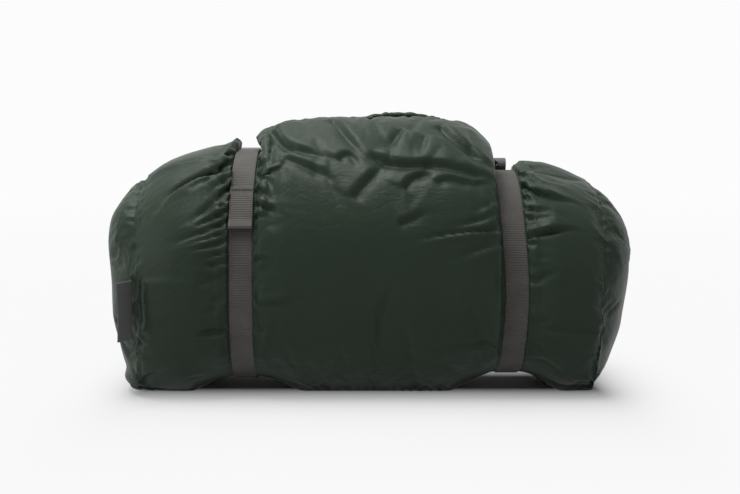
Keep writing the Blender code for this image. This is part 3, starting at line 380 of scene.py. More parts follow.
def make_materials():
    weave, ribs, worn = make_weave_group(), make_rib_group(), make_wear_group()

    def cloth(name, colour, rough, thread, tone, crinkle, bump=0.5, reach=1.2 * MM, **sockets):
        values = {
            "Colour": (*colour, 1), "Roughness": rough, "Thread": thread, "Tone change": tone,
            "Crinkle": crinkle,
        }
        return make_material(name, weave, values, bump, reach, **sockets)

    def webbing(name, colour, width):
        values = {"Colour": (*colour, 1), "Roughness": 0.72, "Rib": RIB, "Half width": width / 2}
        return make_material(name, ribs, values, 0.6, 0.25 * MM, Specular_IOR_Level=0.3)

    def worn_finish(name, colour, rough, metallic, wear):
        values = {"Colour": (*colour, 1), "Roughness": rough, "Grain scale": 1500.0, "Edge wear": wear}
        return make_material(name, worn, values, 0.12, 0.2 * MM, Metallic=metallic)

    return {
        "green_cloth": cloth(
            "green_coated_nylon", (0.0185, 0.0325, 0.02), 0.41, 0.5 * MM, 0.25, 0.7, 0.6, 1.4 * MM,
            Specular_IOR_Level=0.17, Sheen_Weight=0.05, Sheen_Tint=(0.55, 0.8, 0.6, 1),
        ),
        "webbing": webbing("grey_webbing", (0.108, 0.104, 0.096), WEB_WIDTH),
        "dark_webbing": webbing("navy_webbing", (0.042, 0.046, 0.058), 24 * MM),
        "label_cloth": cloth("bare_label_cloth", (0.118, 0.118, 0.122), 0.7, 0.8 * MM, 0.3, 0.1),
        "black_plastic": worn_finish("moulded_black_acetal", (0.09, 0.091, 0.09), 0.45, 0.0, 0.5),
        "black_cord": cloth("braided_black_cord", (0.018, 0.018, 0.02), 0.75, 0.9 * MM, 0.3, 0.2),
        "fly_cloth": cloth("grey_fly_cloth", (0.3, 0.32, 0.31), 0.45, 0.5 * MM, 0.2, 0.6),
        "inner_cloth": cloth("pale_inner_cloth", (0.6, 0.58, 0.5), 0.6, 0.6 * MM, 0.2, 0.6),
        "pole_metal": worn_finish("anodised_pole_tube", (0.45, 0.46, 0.48), 0.3, 1.0, 0.3),
        "stake_metal": worn_finish("anodised_red_stake", (0.35, 0.05, 0.03), 0.34, 1.0, 0.6),
        "spring_steel": worn_finish("bright_spring_wire", (0.55, 0.55, 0.55), 0.25, 1.0, 0.2),
        "thread": cloth("sewing_thread", (0.05, 0.06, 0.052), 0.6, 0.5 * MM, 0.2, 0.2),
        "guyline": cloth("braided_guyline", (0.5, 0.48, 0.1), 0.7, 1.0 * MM, 0.2, 0.3),
    }


MATERIALS = make_materials()
make_cords()


# The sack's cloth


def steady(values, x):
    """The outline's value at x, along a curve that never overshoots its keys."""
    xs = OUTLINE[0]
    rises = np.diff(values) / np.diff(xs)
    slopes = np.zeros(len(xs))
    slopes[0], slopes[-1] = rises[0], rises[-1]
    before, after = rises[:-1], rises[1:]
    runs_on = before * after > 0
    slopes[1:-1][runs_on] = (2 * before * after)[runs_on] / (before + after)[runs_on]
    i = int(np.clip(np.searchsorted(xs, x, side="right") - 1, 0, len(xs) - 2))
    span = xs[i + 1] - xs[i]
    t = (x - xs[i]) / span
    return (
        (2 * t**3 - 3 * t**2 + 1) * values[i]
        + (t**3 - 2 * t**2 + t) * span * slopes[i]
        + (3 * t**2 - 2 * t**3) * values[i + 1]
        + (t**3 - t**2) * span * slopes[i + 1]
    )


def girth_ring(x, count):
    """(y, z) points an equal way apart round the sack at x, from the mouth's line down the front."""
    low, top, depth = (steady(OUTLINE[row], x) for row in (1, 2, 3))
    start = math.acos((MOUTH_Y / (depth / 2)) ** (ROUND_TOP / 2))
    angle = start + np.linspace(0, 2 * np.pi, 1441)
    cos, sin = np.cos(angle), np.sin(angle)
    bend = np.where(sin > 0, 2 / ROUND_TOP, 2 / ROUND_FOOT)
    middle, rise = (top + low - FLAT_PRESS) / 2, (top - low + FLAT_PRESS) / 2
    y = depth / 2 * np.sign(cos) * np.abs(cos) ** bend
    z = np.maximum(middle + rise * np.sign(sin) * np.abs(sin) ** bend, low)
    run = np.concatenate([[0], np.cumsum(np.hypot(np.diff(y), np.diff(z)))])
    at = np.linspace(0, run[-1], count, endpoint=False)
    return np.stack([np.interp(at, run, y), np.interp(at, run, z)], axis=1)


def sack_rings():
    """Points of the whole sack, ring by ring from its left end's middle to its right end's."""
    domes = {}
    for side in (-1, 1):
        ring = girth_ring(side * SEAM_X, RING_POINTS)
        low, high = ring[:, 1].min(), ring[:, 1].max()
        centre = low + (high - low) * END_CENTRE
        rows, bend = [], 2 / END_ROUND[side]
        for i in range(1, RINGS_DOME + 1):
            turn = math.pi / 2 * min(i / RINGS_DOME, 0.985)
            share = math.cos(turn) ** bend
            x = side * (SEAM_X + END_BULGE[side] * math.sin(turn) ** bend)
            y, z = ring[:, 0] * share, centre + (ring[:, 1] - centre) * share
            rows.append(np.stack([np.full(RING_POINTS, x), y, z], axis=1))
        domes[side] = rows
    body = []
    for x in np.linspace(-SEAM_X, SEAM_X, RINGS_ALONG + 1):
        ring = girth_ring(x, RING_POINTS)
        body.append(np.column_stack([np.full(RING_POINTS, x), ring]))
    return np.array(domes[-1][::-1] + body + domes[1])


def girth_run(points):
    """How far each point lies round its ring, and the ring's own length."""
    steps = np.linalg.norm(np.roll(points, -1, axis=1) - points, axis=2)
    return np.cumsum(steps, axis=1) - steps, steps.sum(axis=1)[:, None]


def from_mouth(points):
    """How far each point lies round its ring from the mouth's line."""
    run, girth = girth_run(points)
    return np.minimum(run, girth - run)


def grid_normals(points):
    """Outward ways of a grid of rings."""
    along = np.gradient(points, axis=0)
    around = np.roll(points, -1, axis=1) - np.roll(points, 1, axis=1)
    return unit(np.cross(around, along))


def between(before, a, b, after):
    return (9 * (a + b) - before - after) / 16


def finer(points):
    """The same grid with a point between every two, on a smooth curve."""
    ahead, behind = np.roll(points, -1, axis=1), np.roll(points, 1, axis=1)
    wide = np.empty((len(points), 2 * points.shape[1], 3))
    wide[:, ::2] = points
    wide[:, 1::2] = between(behind, points, ahead, np.roll(points, -2, axis=1))
    padded = np.concatenate([2 * wide[:1] - wide[1:2], wide, 2 * wide[-1:] - wide[-2:-1]])
    found = np.empty((2 * len(wide) - 1, wide.shape[1], 3))
    found[::2] = wide
    found[1::2] = between(padded[:-3], padded[1:-2], padded[2:-1], padded[3:])
    return found


def spread_shares(draw, length, steps):
    """Places along that length, an uneven way apart, as shares of it."""
    found, at = [], 0.0
    while at < length:
        found.append(at / length)
        at += draw.uniform(*steps)
    return found


# Least and most of the gathers' spacing, half width, reach and depth, in millimetres, then their drift
STRAP_GATHERS = ((8, 17), (2.0, 4.6), (14, 66), (0.3, 1.8), 0.5)
SEAM_GATHERS = ((7, 18), (1.8, 4.0), (8, 34), (0.3, 1.2), 0.35)
MOUTH_GATHERS = ((7, 14), (2.2, 4.4), (16, 80), (1.3, 3.4), 0.35)


def fan_of_folds(draw, away, share, girth, spread, gathers):
    """Short valleys that start at away = 0, over that spread of the girth, and die out with distance."""
    *ranges, drift = gathers
    spacing, *shape = [(low * MM, high * MM) for low, high in ranges]
    push = np.zeros_like(away)
    for centre in spread_shares(draw, spread, spacing):
        width, reach, depth = [draw.uniform(*limits) for limits in shape]
        lean = draw.uniform(-drift, drift)
        hand = draw.choice((-1, 1))
        offset = (share - centre + 0.5) % 1 - 0.5
        gap = offset * girth - lean * away
        near = (away > 0) & (away < reach) & (np.abs(gap) < 3.5 * width)
        fade = eased(away / (3 * MM)) * (1 - np.clip(away / reach, 0, 1)) ** 1.2
        valley = np.exp(-np.abs(gap / width) ** 1.5)
        ridge = 0.6 * np.exp(-(((gap - hand * 1.5 * width) / (0.9 * width)) ** 2))
        push[near] += (depth * (ridge - valley) * fade)[near]
    return push


def over_mouth(x, reach):
    """1 along the mouth, down to 0 at its ends."""
    return rising(x - MOUTH_LEFT, 0, reach) * rising(MOUTH_RIGHT - x, 0, reach)


def gathered_folds(points, seed, size):
    """How far the gathers at straps, seams and mouth push each point out; size scales them."""
    draw = random.Random(seed)
    run, girth = girth_run(points)
    share = run / girth
    x, z = points[..., 0], points[..., 2]
    push = np.zeros_like(x)
    for strap in STRAP_X.values():
        for hand in (-1, 1):
            away = hand * (x - strap) - WEB_WIDTH / 2
            push += fan_of_folds(draw, away, share, girth, 0.64, STRAP_GATHERS)
    push *= 0.15 + 0.4 * rising(z, 10, 40) + 0.45 * rising(z, 60, 90)
    for side in (-1, 1):
        for hand in (-1, 1):
            away = hand * (side * x - SEAM_X)
            away *= 2.2 if hand > 0 else 1
            push += fan_of_folds(draw, away, share, girth, 0.6, SEAM_GATHERS)
    wide = MOUTH_RIGHT - MOUTH_LEFT
    along = (x - MOUTH_LEFT) / wide
    for away in (girth - run, run):
        push += fan_of_folds(draw, away, along, wide, wide, MOUTH_GATHERS) * over_mouth(x, 8)
    return push * size


def front_place(x, z):
    """The point on the sack's front at x and z."""
    side = -1 if x < 0 else 1
    beyond = min(max((abs(x) - SEAM_X) / END_BULGE[side], 0), 0.98)
    share = (1 - beyond ** END_ROUND[side]) ** (1 / END_ROUND[side])
    ring = girth_ring(min(max(x, -SEAM_X), SEAM_X), 360)
    centre = ring[:, 1].max() * END_CENTRE
    z_here = centre + (z - centre) / share
    front = ring[ring[:, 0] < MOUTH_Y]
    y = front[np.argmin(np.abs(front[:, 1] - z_here)), 0]
    return np.array([x, y * share, z])


def even_line(points, step):
    """Points that far apart along a line, with its corners rounded."""
    points = np.array(points, dtype=float)
    run = np.concatenate([[0], np.cumsum(np.linalg.norm(np.diff(points, axis=0), axis=1))])
    count = max(int(round(run[-1] / step)), 2)
    at = np.linspace(0, run[-1], count + 1)
    line = np.stack([np.interp(at, run, points[:, axis]) for axis in range(points.shape[1])], axis=1)
    return soften(line, 3)


def crease_push(points, normals, depth, width, line):
    """A fold along a line on the sack: a valley with one raised lip, tapering at both ends."""
    places = np.array([front_place(x * MM, z * MM) for x, z in line])
    places = even_line(places, 4 * MM)
    reach = 8 * width
    low, high = places.min(axis=0) - reach, places.max(axis=0) + reach
    near = np.all((points > low) & (points < high), axis=2)
    spots, outs = points[near], normals[near]
    best = np.full(len(spots), 1e9)
    side, along = np.zeros(len(spots)), np.zeros(len(spots))
    lengths = np.linalg.norm(np.diff(places, axis=0), axis=1)
    starts = np.concatenate([[0], np.cumsum(lengths)])
    for i, (a, b) in enumerate(zip(places, places[1:])):
        way = (b - a) / lengths[i]
        t = np.clip((spots - a) @ way, 0, lengths[i])
        gap = spots - (a + t[:, None] * way)
        distance = np.linalg.norm(gap, axis=1)
        hand = np.einsum("ij,ij->i", np.cross(np.broadcast_to(way, gap.shape), gap), outs)
        closer = distance < best
        best[closer], side[closer], along[closer] = distance[closer], hand[closer], (starts[i] + t)[closer]
    share = along / starts[-1]
    taper = eased(share / 0.08) * (1 - eased((share - 0.5) / 0.5) * 0.88)
    gap = best / width
    steep = side > 0
    valley = np.exp(-(gap**1.4) * np.where(steep, 1.8, 0.9))
    lip = np.where(steep, 1.2 * (1 - np.exp(-0.9 * gap**2)) * np.exp(-gap / 2.4), 0)
    push = np.zeros(points.shape[:2])
    push[near] = depth * taper * (lip - valley)
    return push


CREASE_SCALE = 1.6 * MM
CREASES = (  # depth and half width, then x and z along each fold, all in millimetres
    (3.9, 2.8, ((-120, 206), (-141, 206), (-160, 202), (-182, 195), (-199, 185), (-209, 173))),
    (5.4, 3.0, ((-120, 200), (-134, 197), (-149, 192), (-163, 183), (-174, 174), (-181, 162))),
    (4.8, 3.2, ((-120, 195), (-132, 193), (-145, 187), (-154, 181))),
    (3.3, 2.3, ((-122, 188), (-131, 184), (-140, 177))),
    (3.9, 3.0, ((-122, 179), (-130, 174), (-143, 163), (-154, 153))),
    (3.0, 2.6, ((-122, 161), (-134, 158), (-146, 153), (-154, 146))),
    (2.4, 2.6, ((-121, 153), (-136, 148), (-156, 140), (-168, 134))),
    (2.4, 2.3, ((-121, 136), (-133, 134), (-146, 132), (-154, 130))),
    (1.7, 2.3, ((-121, 120), (-134, 118), (-146, 116))),
    (4.7, 3.2, ((-96, 230), (-94, 218), (-85, 209), (-78, 216))),
    (3.4, 4.4, ((-80, 233), (-74, 225), (-66, 217), (-55, 212), (-40, 208), (-28, 204))),
    (2.4, 4.6, ((-68, 208), (-47, 198), (-34, 191), (-27, 183))),
    (3.6, 2.3, ((-95, 197), (-88, 202), (-77, 206))),
    (3.3, 2.1, ((-94, 190), (-84, 191), (-75, 185))),
    (3.3, 2.1, ((-94, 177), (-88, 180), (-82, 178), (-75, 171))),
    (3.0, 2.3, ((-93, 166), (-86, 168), (-76, 165), (-66, 160))),
    (2.7, 2.1, ((-94, 156), (-86, 159), (-75, 158))),
    (1.8, 1.4, ((-94, 122), (-85, 124), (-72, 122))),
    (1.8, 4.0, ((-26, 204), (-17, 211), (-12, 205), (-8, 196))),
    (2.0, 5.0, ((-13, 171), (-5, 183), (8, 196), (15, 207))),
    (2.6, 4.6, ((28, 232), (18, 220), (14, 207))),
    (1.6, 3.4, ((47, 225), (43, 214), (41, 207))),
    (2.8, 4.6, ((57, 235), (65, 225), (80, 213), (91, 201), (101, 189))),
    (3.0, 5.2, ((0, 212), (9, 204), (30, 199), (50, 201), (73, 195), (91, 190), (102, 181))),
    (2.2, 3.8, ((28, 179), (34, 189), (45, 194), (59, 193))),
    (2.0, 3.8, ((51, 184), (61, 190), (76, 184), (103, 178))),
    (1.6, 3.6, ((23, 150), (38, 156), (48, 161))),
    (2.2, 1.6, ((102, 143), (95, 145), (78, 145), (55, 141), (34, 136))),
    (1.5, 2.6, ((101, 133), (83, 130), (66, 121))),
    (3.9, 2.1, ((131, 189), (139, 190), (148, 188), (156, 184))),
    (4.2, 2.3, ((131, 180), (139, 181), (153, 176), (168, 170), (177, 168))),
    (3.3, 1.9, ((132, 172), (140, 172), (145, 169))),
    (3.3, 2.3, ((132, 163), (144, 164), (158, 162))),
    (3.6, 2.3, ((132, 139), (144, 143), (158, 146), (176, 146))),
    (2.1, 1.9, ((132, 135), (149, 136))),
    (1.4, 3.0, ((106, 44), (93, 48), (68, 46), (47, 43))),
    (1.4, 3.0, ((194, 60), (160, 63), (136, 61))),
    (1.8, 3.0, ((139, 38), (150, 32), (165, 22))),
    (1.8, 2.6, ((-205, 55), (-199, 52), (-190, 50))),
    (2.0, 3.0, ((-201, 10), (-190, 21), (-175, 28))),
    (1.4, 3.0, ((-123, 62), (-139, 59), (-160, 60))),
    (1.8, 2.6, ((-94, 88), (-75, 86), (-50, 89))),
    (2.4, 8.0, ((-195, 108), (-195, 84), (-195, 52))),
    (2.4, 4.0, ((-33, 239), (-21, 226), (-6, 207), (5, 200))),
    (2.7, 1.9, ((-121, 169), (-132, 166), (-143, 160))),
    (2.4, 1.8, ((-121, 145), (-134, 142), (-150, 137), (-160, 133))),
    (2.2, 1.8, ((-121, 128), (-134, 127), (-146, 123))),
    (2.4, 1.9, ((131, 156), (142, 157), (152, 154))),
    (2.1, 1.9, ((102, 168), (92, 166), (80, 161))),
    (2.1, 2.1, ((102, 156), (90, 155), (72, 150), (60, 147))),
)


def held_weights(points):
    """1 where the cloth can't move while it settles: under the straps, at the mouth and the foot."""
    x, z = points[..., 0], points[..., 2]
    held = np.zeros_like(x)
    for strap in STRAP_X.values():
        held = np.maximum(held, 1 - rising(np.abs(x - strap), 10.5, 4))
    in_mouth = (x > MOUTH_LEFT - 4 * MM) & (x < MOUTH_RIGHT + 4 * MM)
    held = np.maximum(held, np.where(in_mouth, 1 - rising(from_mouth(points), 3, 6), 0))
    held = np.maximum(held, 1 - rising(z, 0.6, 4))
    seam = 0.25 * hump(np.abs(x) - SEAM_X, 0, 3)
    return np.maximum(held, seam)


def sack_faces(rows, columns):
    """Quads of a tube of that many rings, facing outwards, with a fan at each pole."""
    faces = []
    for i in range(rows - 1):
        for j in range(columns):
            k = (j + 1) % columns
            a, b = i * columns, (i + 1) * columns
            faces.append((a + j, a + k, b + k, b + j))
    first, last = rows * columns, rows * columns + 1
    for j in range(columns):
        k = (j + 1) % columns
        faces.append((j, first, k))
        faces.append(((rows - 1) * columns + j, (rows - 1) * columns + k, last))
    return faces


COATED_CLOTH = {
    "quality": 5, "mass": 0.15, "tension_stiffness": 20, "compression_stiffness": 20,
    "shear_stiffness": 8, "bending_stiffness": 0.08, "use_pressure": True,
    "uniform_pressure_force": 22,
}


def settle(points, held, spare, frames, most):
    """Let the cloth fill out over what is rolled inside, with that much spare cloth."""
    rows, columns = points.shape[:2]
    ends = [points[end].mean(axis=0) for end in (0, -1)]
    before = np.concatenate([points.reshape(-1, 3), ends])
    mesh = bpy.data.meshes.new("settling_cloth")
    mesh.from_pydata(before.tolist(), [], sack_faces(rows, columns))
    obj = add_object("settling_cloth", mesh)
    weights = np.append(held.ravel(), [0, 0])
    group = obj.vertex_groups.new(name="held")
    for level in range(1, 21):
        found = np.nonzero(np.round(weights * 20) == level)[0]
        if len(found):
            group.add(found.tolist(), level / 20, "REPLACE")
    cloth = obj.modifiers.new("cloth", "CLOTH")
    for key, value in {**COATED_CLOTH, "shrink_min": -spare, "vertex_group_mass": "held"}.items():
        setattr(cloth.settings, key, value)
    cloth.settings.effector_weights.gravity = 0
    cloth.point_cache.frame_start = 1
    cloth.point_cache.frame_end = frames
    scene = bpy.context.scene
    for number in range(frames):
        scene.frame_set(number + 1)
    choose(obj)
    bpy.ops.object.modifier_apply(modifier="cloth")
    scene.frame_set(1)
    after = np.empty(len(before) * 3)
    obj.data.vertices.foreach_get("co", after)
    move = after.reshape(-1, 3) - before
    size = np.linalg.norm(move, axis=1, keepdims=True)
    capped = before + move * (most * np.tanh(size / most) / np.maximum(size, 1e-9))
    capped[:, 2] = np.maximum(capped[:, 2], 0)
    bpy.data.objects.remove(obj)
    return capped[:-2].reshape(points.shape)


def press_under_fittings(points):
    """Flatten the cloth under the buckles, and under the haul loop on the left end."""
    for side, (seat, along, out) in BUCKLES.items():
        gap = points - np.array((STRAP_X[side], *seat))
        v = gap[..., 1:] @ np.array(along)
        w = gap[..., 1:] @ np.array(out)
        under = (np.abs(gap[..., 0]) < 15.5 * MM) & (v > -40 * MM) & (v < 30 * MM) & (w > -8 * MM)
        sink = np.where(under, np.maximum(w + 0.15 * MM, 0), 0)
        points[..., 1:] -= sink[..., None] * np.array(out)
    y, z = points[..., 1], points[..., 2]
    behind = (points[..., 0] < -SEAM_X) & (np.abs(y) < 16 * MM)
    behind &= (z > HAUL_FOOT - 3 * MM) & (z < HAUL_TOP + 3 * MM)
    wall = np.vectorize(left_wall)(np.clip(z, HAUL_FOOT - 4 * MM, HAUL_TOP + 4 * MM)) + 0.2 * MM
    points[..., 0] = np.where(behind, np.maximum(points[..., 0], wall), points[..., 0])


def press_under_legs(points):
    """Press the crown's cloth down where the drawcord's legs run over it to the right strap."""
    for leg in (LEG_A, LEG_B):
        line = even_line(np.array([tucked_in(*point) for point in leg]) * MM, 1 * MM)
        line = line[line[:, 0] < 105 * MM]
        way = np.gradient(line, axis=0)
        outs = unit(np.stack([-way[:, 2], 0 * way[:, 1], way[:, 0]], axis=1))
        around = (points > line.min(axis=0) - 8 * MM) & (points < line.max(axis=0) + 8 * MM)
        near = around.all(axis=2) & (points[..., 0] < 106 * MM)
        cloth = points[near]
        gap = cloth[:, None] - line
        closest = np.linalg.norm(gap, axis=2).argmin(axis=1)
        gap, out = gap[np.arange(len(cloth)), closest], outs[closest]
        above = (gap * out).sum(axis=1)
        beside = np.linalg.norm(gap - above[:, None] * out, axis=1)
        sink = np.maximum(above + CORD_THICK / 2 + 0.2 * MM, 0) * (1 - rising(beside, 2, 5))
        points[near] = cloth - out * sink[:, None]


def left_slack(z):
    """How far the left end has sagged inwards at that height."""
    return 6.5 * falling(z, 166, 74) * rising(z, 8, 20) * MM


def left_wall(z):
    """X of the left end's middle line at that height."""
    centre = OUTLINE[2][0] * END_CENTRE
    height = OUTLINE[2][0] - centre if z > centre else centre
    share = min(abs(z - centre) / height, 1)
    dome = END_BULGE[-1] * (1 - share ** END_ROUND[-1]) ** (1 / END_ROUND[-1])
    return left_slack(z) - SEAM_X - dome


def mesh_piece(name, verts, faces, spots):
    """A smooth mesh, whose UV map takes its spots corner by corner."""
    mesh = bpy.data.meshes.new(name)
    mesh.from_pydata(verts, [], faces)
    layer = mesh.uv_layers.new(name="UVMap")
    layer.data.foreach_set("uv", np.array(spots, dtype=np.float32).ravel())
    mesh.shade_smooth()
    return add_object(name, mesh)


def face_out(obj):
    """Turn the normals of a closed piece outwards."""
    mesh = bmesh.new()
    mesh.from_mesh(obj.data)
    bmesh.ops.recalc_face_normals(mesh, faces=mesh.faces)
    mesh.to_mesh(obj.data)
    mesh.free()


def grid_piece(name, points, uv, ring=True, caps=False, poles=()):
    """A mesh through rows of points. With ring, each row closes; caps and poles close its ends."""
    rows, columns = points.shape[:2]
    index = np.arange(rows * columns).reshape(rows, columns)
    if ring:
        index = np.concatenate([index, index[:, :1]], axis=1)
    quads = np.stack([index[:-1, :-1], index[:-1, 1:], index[1:, 1:], index[1:, :-1]], axis=2)
    corners = np.stack([uv[:-1, :-1], uv[:-1, 1:], uv[1:, 1:], uv[1:, :-1]], axis=2)
    faces = quads.reshape(-1, 4).tolist()
    spots = corners.reshape(-1, 2).tolist()
    verts = points.reshape(-1, 3).tolist()
    for end in poles:
        verts.append(points[end].mean(axis=0).tolist())
        line, marks = index[end], uv[end]
        for j in range(columns):
            a, b = (j, j + 1) if end else (j + 1, j)
            faces.append((int(line[a]), int(line[b]), len(verts) - 1))
            spots += [marks[a].tolist(), marks[b].tolist(), marks[a].tolist()]
    if caps:
        faces += [index[0, :columns].tolist()[::-1], index[-1, :columns].tolist()]
        spots += uv[0, :columns].tolist()[::-1] + uv[-1, :columns].tolist()
    return mesh_piece(name, verts, faces, spots)


def girth_uv(points):
    """X and the way round the ring, in metres, with the ring's closing edge added."""
    run, girth = girth_run(points)
    run = np.concatenate([run, girth], axis=1)
    x = np.concatenate([points[..., 0], points[:, :1, 0]], axis=1)
    return np.stack([x, run], axis=2)


FOOT_LIFT = {"left": 5 * MM, "right": 10 * MM}
FOOT_GAP = 9 * MM
STRAP_BOW = 4 * MM


def hang(points):
    """How the cinched sack stands: its feet rise beside the straps, and the right strap bows out."""
    x, y, z = points[..., 0], points[..., 1], points[..., 2]
    low = 1 - rising(z, 0, 52)
    lift = np.zeros_like(z)
    for side, rise in FOOT_LIFT.items():
        away = np.abs(x - STRAP_X[side])
        wanted = (FOOT_GAP + rise) * (1 - rising(away, 11, 42))
        already = FOOT_GAP * (1 - rising(away, 16.5, 9))
        lift = np.maximum(lift, wanted - already)
    bow = hump(z, 92, 52) * rising(-y, 30, 50)
    bow *= hump(x - STRAP_X["right"], 0, 34)
    moved = points.copy()
    moved[..., 0] += STRAP_BOW * bow
    moved[..., 2] += lift * low
    return moved


def make_fly_roll():
    """The rolled rainfly, which fills the sack, slacker than its solid."""
    points = sack_rings()
    inset = 11 * MM + 7 * MM * rising(np.abs(points[..., 0]), 170, 40)
    points = hang(points - grid_normals(points) * inset[..., None])
    roll = grid_piece("rolled_fly_cloth", points, girth_uv(points), poles=(0, -1))
    finish_piece(roll, "sack", "fly_cloth", "rainfly_roll")


MOUTH_EDGE = np.array(  # x, then the heights of the gathered edge's back and front, in millimetres
    [
        (-98, 231, 231), (-90, 234.5, 233), (-84, 237, 236.5), (-76, 239, 236), (-71, 241, 240.5),
        (-64, 240.5, 238.5), (-58, 242, 237), (-48, 242.5, 237.5), (-44, 243, 242.5), (-37, 243, 242),
        (-33, 243.8, 239.5), (-22, 243, 239), (-18, 243, 242.5), (-6, 243.7, 242.8), (2, 245, 243.5),
        (6, 245.8, 240.5), (14, 247.2, 240), (18, 247.4, 242), (24, 247.4, 240.5), (32, 247.4, 242),
        (40, 247, 240.8), (48, 246, 241), (53, 245.5, 244.5), (60, 244.8, 246), (66, 243.6, 245),
        (71, 242.4, 243.2), (84, 236, 235), (100, 226, 226),
    ]
).T * MM
EDGE_REACH = 26 * MM


def mouth_shape(base):
    """How far the cloth by the mouth rises or sinks to the height of its gathered edge."""
    run, girth = girth_run(base)
    in_front = run < girth / 2
    away = np.where(in_front, run, girth - run)
    x = base[..., 0]
    edge = [np.interp(x, MOUTH_EDGE[0], MOUTH_EDGE[row]) for row in (1, 2)]
    start = base[:, :1, 2]
    fade = rising(x - MOUTH_LEFT, -12, 20) * eased((MOUTH_RIGHT + 16 * MM - x) / (22 * MM))
    rise = np.where(in_front, edge[1], edge[0]) - 2.5 * MM - start
    rise = rise * fade * (1 - eased((away - 6 * MM) / EDGE_REACH))
    shoulder = rising(x, 58, 12) * (1 - rising(x, 92, 10))
    ridge = hump(base[..., 1], -9, 8) * in_front * (base[..., 2] > 150 * MM)
    return rise + 2.6 * MM * shoulder * ridge


def end_shape(base):
    """How far along X the ends lie from plain domes: the left fuller on top, the right slack."""
    x, z = base[..., 0], base[..., 2]
    left, right = rising(-x, 192, 24), rising(x, 190, 24)
    along = -2 * MM * left * hump(z, 152, 24)
    along -= 2.2 * MM * left * hump(z, 161, 15)
    along += left * left_slack(z)
    along += 3 * MM * left * falling(z, 74, 30) * rising(z, 12, 16)
    along -= 4 * MM * left * falling(z, 14, 14)
    along -= 10 * MM * right * falling(z, 136, 70)
    along -= 3 * MM * right * hump(z, 182, 12)
    along += 2.2 * MM * right * hump(z, 143, 20)
    return along - 3 * MM * right * falling(z, 64, 30) * rising(z, 8, 16)


STRAP_SIDES = (
    # strap, side of it, y behind which the cloth stands away, then for its top: lean, overhang and rise
    ("left", -1, 40, 9, 0, 6),
    ("left", 1, 40, 0, 4.5, 0),
    ("right", -1, 4, 0, 2.2, -6),
    ("right", 1, 44, 2, 0, 2.5),
)


def rounded_table(keys):
    """A table through those (away, amount) keys in millimetres, with its corners rounded."""
    away = np.arange(0, 100, 0.5)
    amount = np.interp(away, *np.array(keys, dtype=float).T)
    return away, soften(amount, 24) * MM


LEAN = rounded_table([(10.5, 0), (16.5, 5.6), (26, 6.5), (75, 0)])
SWELL = rounded_table(
    [
        (10, 0), (10.6, 1.5), (12, 2.3), (14, 3.0), (16.5, 3.8), (19, 2.7), (22, -0.4), (25.5, -2.0),
        (32, -1), (42, 0),
    ]
)


def close_up_to_straps(base, points):
    """Swell and lean the cloth up against each strap from both sides, but not where its buckle lies."""
    x, y, z = base[..., 0], base[..., 1], base[..., 2]
    outs = grid_normals(base)
    outs[..., 0] = 0
    outs = unit(outs)
    for side, hand, clear, over, hang_over, rise in STRAP_SIDES:
        away = hand * (x - STRAP_X[side]) / MM
        front = falling(y, clear, 24)
        near_top = rising(y, -50, 40) * rising(z, 140, 30)
        lean = np.interp(away, *LEAN) * rising(z, 6, 36)
        lean += near_top * np.interp(away, (11, 17, 30, 70), (0, 0.4 * over * MM, over * MM, 0))
        lean += near_top * np.interp(away, (16.5, 21, 34, 60), (0, hang_over * MM, 0.7 * hang_over * MM, 0))
        swell = np.interp(away, *SWELL) * rising(z, 6, 20)
        swell += near_top * np.interp(away, (11, 16, 24, 36), (0, rise * MM, 0.8 * rise * MM, 0))
        points += outs * (swell * front)[..., None]
        points[..., 0] -= hand * lean * front


def beside_straps(base):
    """How far each point lies from the nearest strap's middle, and 1 at the foot there."""
    beside = np.minimum(*(np.abs(base[..., 0] - strap) for strap in STRAP_X.values()))
    foot = 1 - rising(base[..., 2], 16, 24)
    return beside, foot * (1 - rising(beside, 24, 22))


SLACK = 5.5 * MM
MOST_OUT, MOST_IN = 5 * MM, 6.5 * MM
SEAM_DIP, MOUTH_DIP = 0.8 * MM, 7 * MM


def filled_out(base):
    """The cloth as it settles over what is rolled inside, kept near its solid."""
    held = held_weights(base)
    far = np.abs(base[..., 0])
    beside, foot = beside_straps(base)
    outs = grid_normals(base)
    inset = SLACK - 2 * MM * rising(far, 130, 50)
    inset *= rising(beside, 13, 26)
    push = (gathered_folds(base, seed=7, size=1.0) - inset) * (1 - held)
    points = base + outs * push[..., None]
    points = settle(points, held, spare=0.05, frames=18, most=13 * MM)
    off = np.einsum("ijk,ijk->ij", points - base, outs)
    firm = np.maximum(foot, 1 - rising(beside, 15, 14))
    most = np.where(off > 0, MOST_OUT - 2.5 * MM * rising(far, 150, 50), MOST_IN)
    most *= 1 - 0.85 * firm
    kept = most * np.tanh(off / most)
    points += outs * (kept - off)[..., None]
    points[..., 0] += end_shape(base)
    return points


def creased(base, points):
    """The cloth with its small gathers and creases, drawn in at both seams and down at the mouth."""
    outs = grid_normals(base)
    push = gathered_folds(base, seed=23, size=0.55)
    for depth, width, line in CREASES:
        push += crease_push(base, outs, depth * CREASE_SCALE, width * MM, line)
    push *= 1 - held_weights(base)
    x = base[..., 0]
    push -= SEAM_DIP * hump(np.abs(x) - SEAM_X, 0, 1.6)
    dip = np.clip(1 - (from_mouth(base) / (5 * MM)) ** 2, 0, 1)
    dip *= over_mouth(x, 6)
    push -= MOUTH_DIP * dip
    return points + grid_normals(points) * push[..., None]


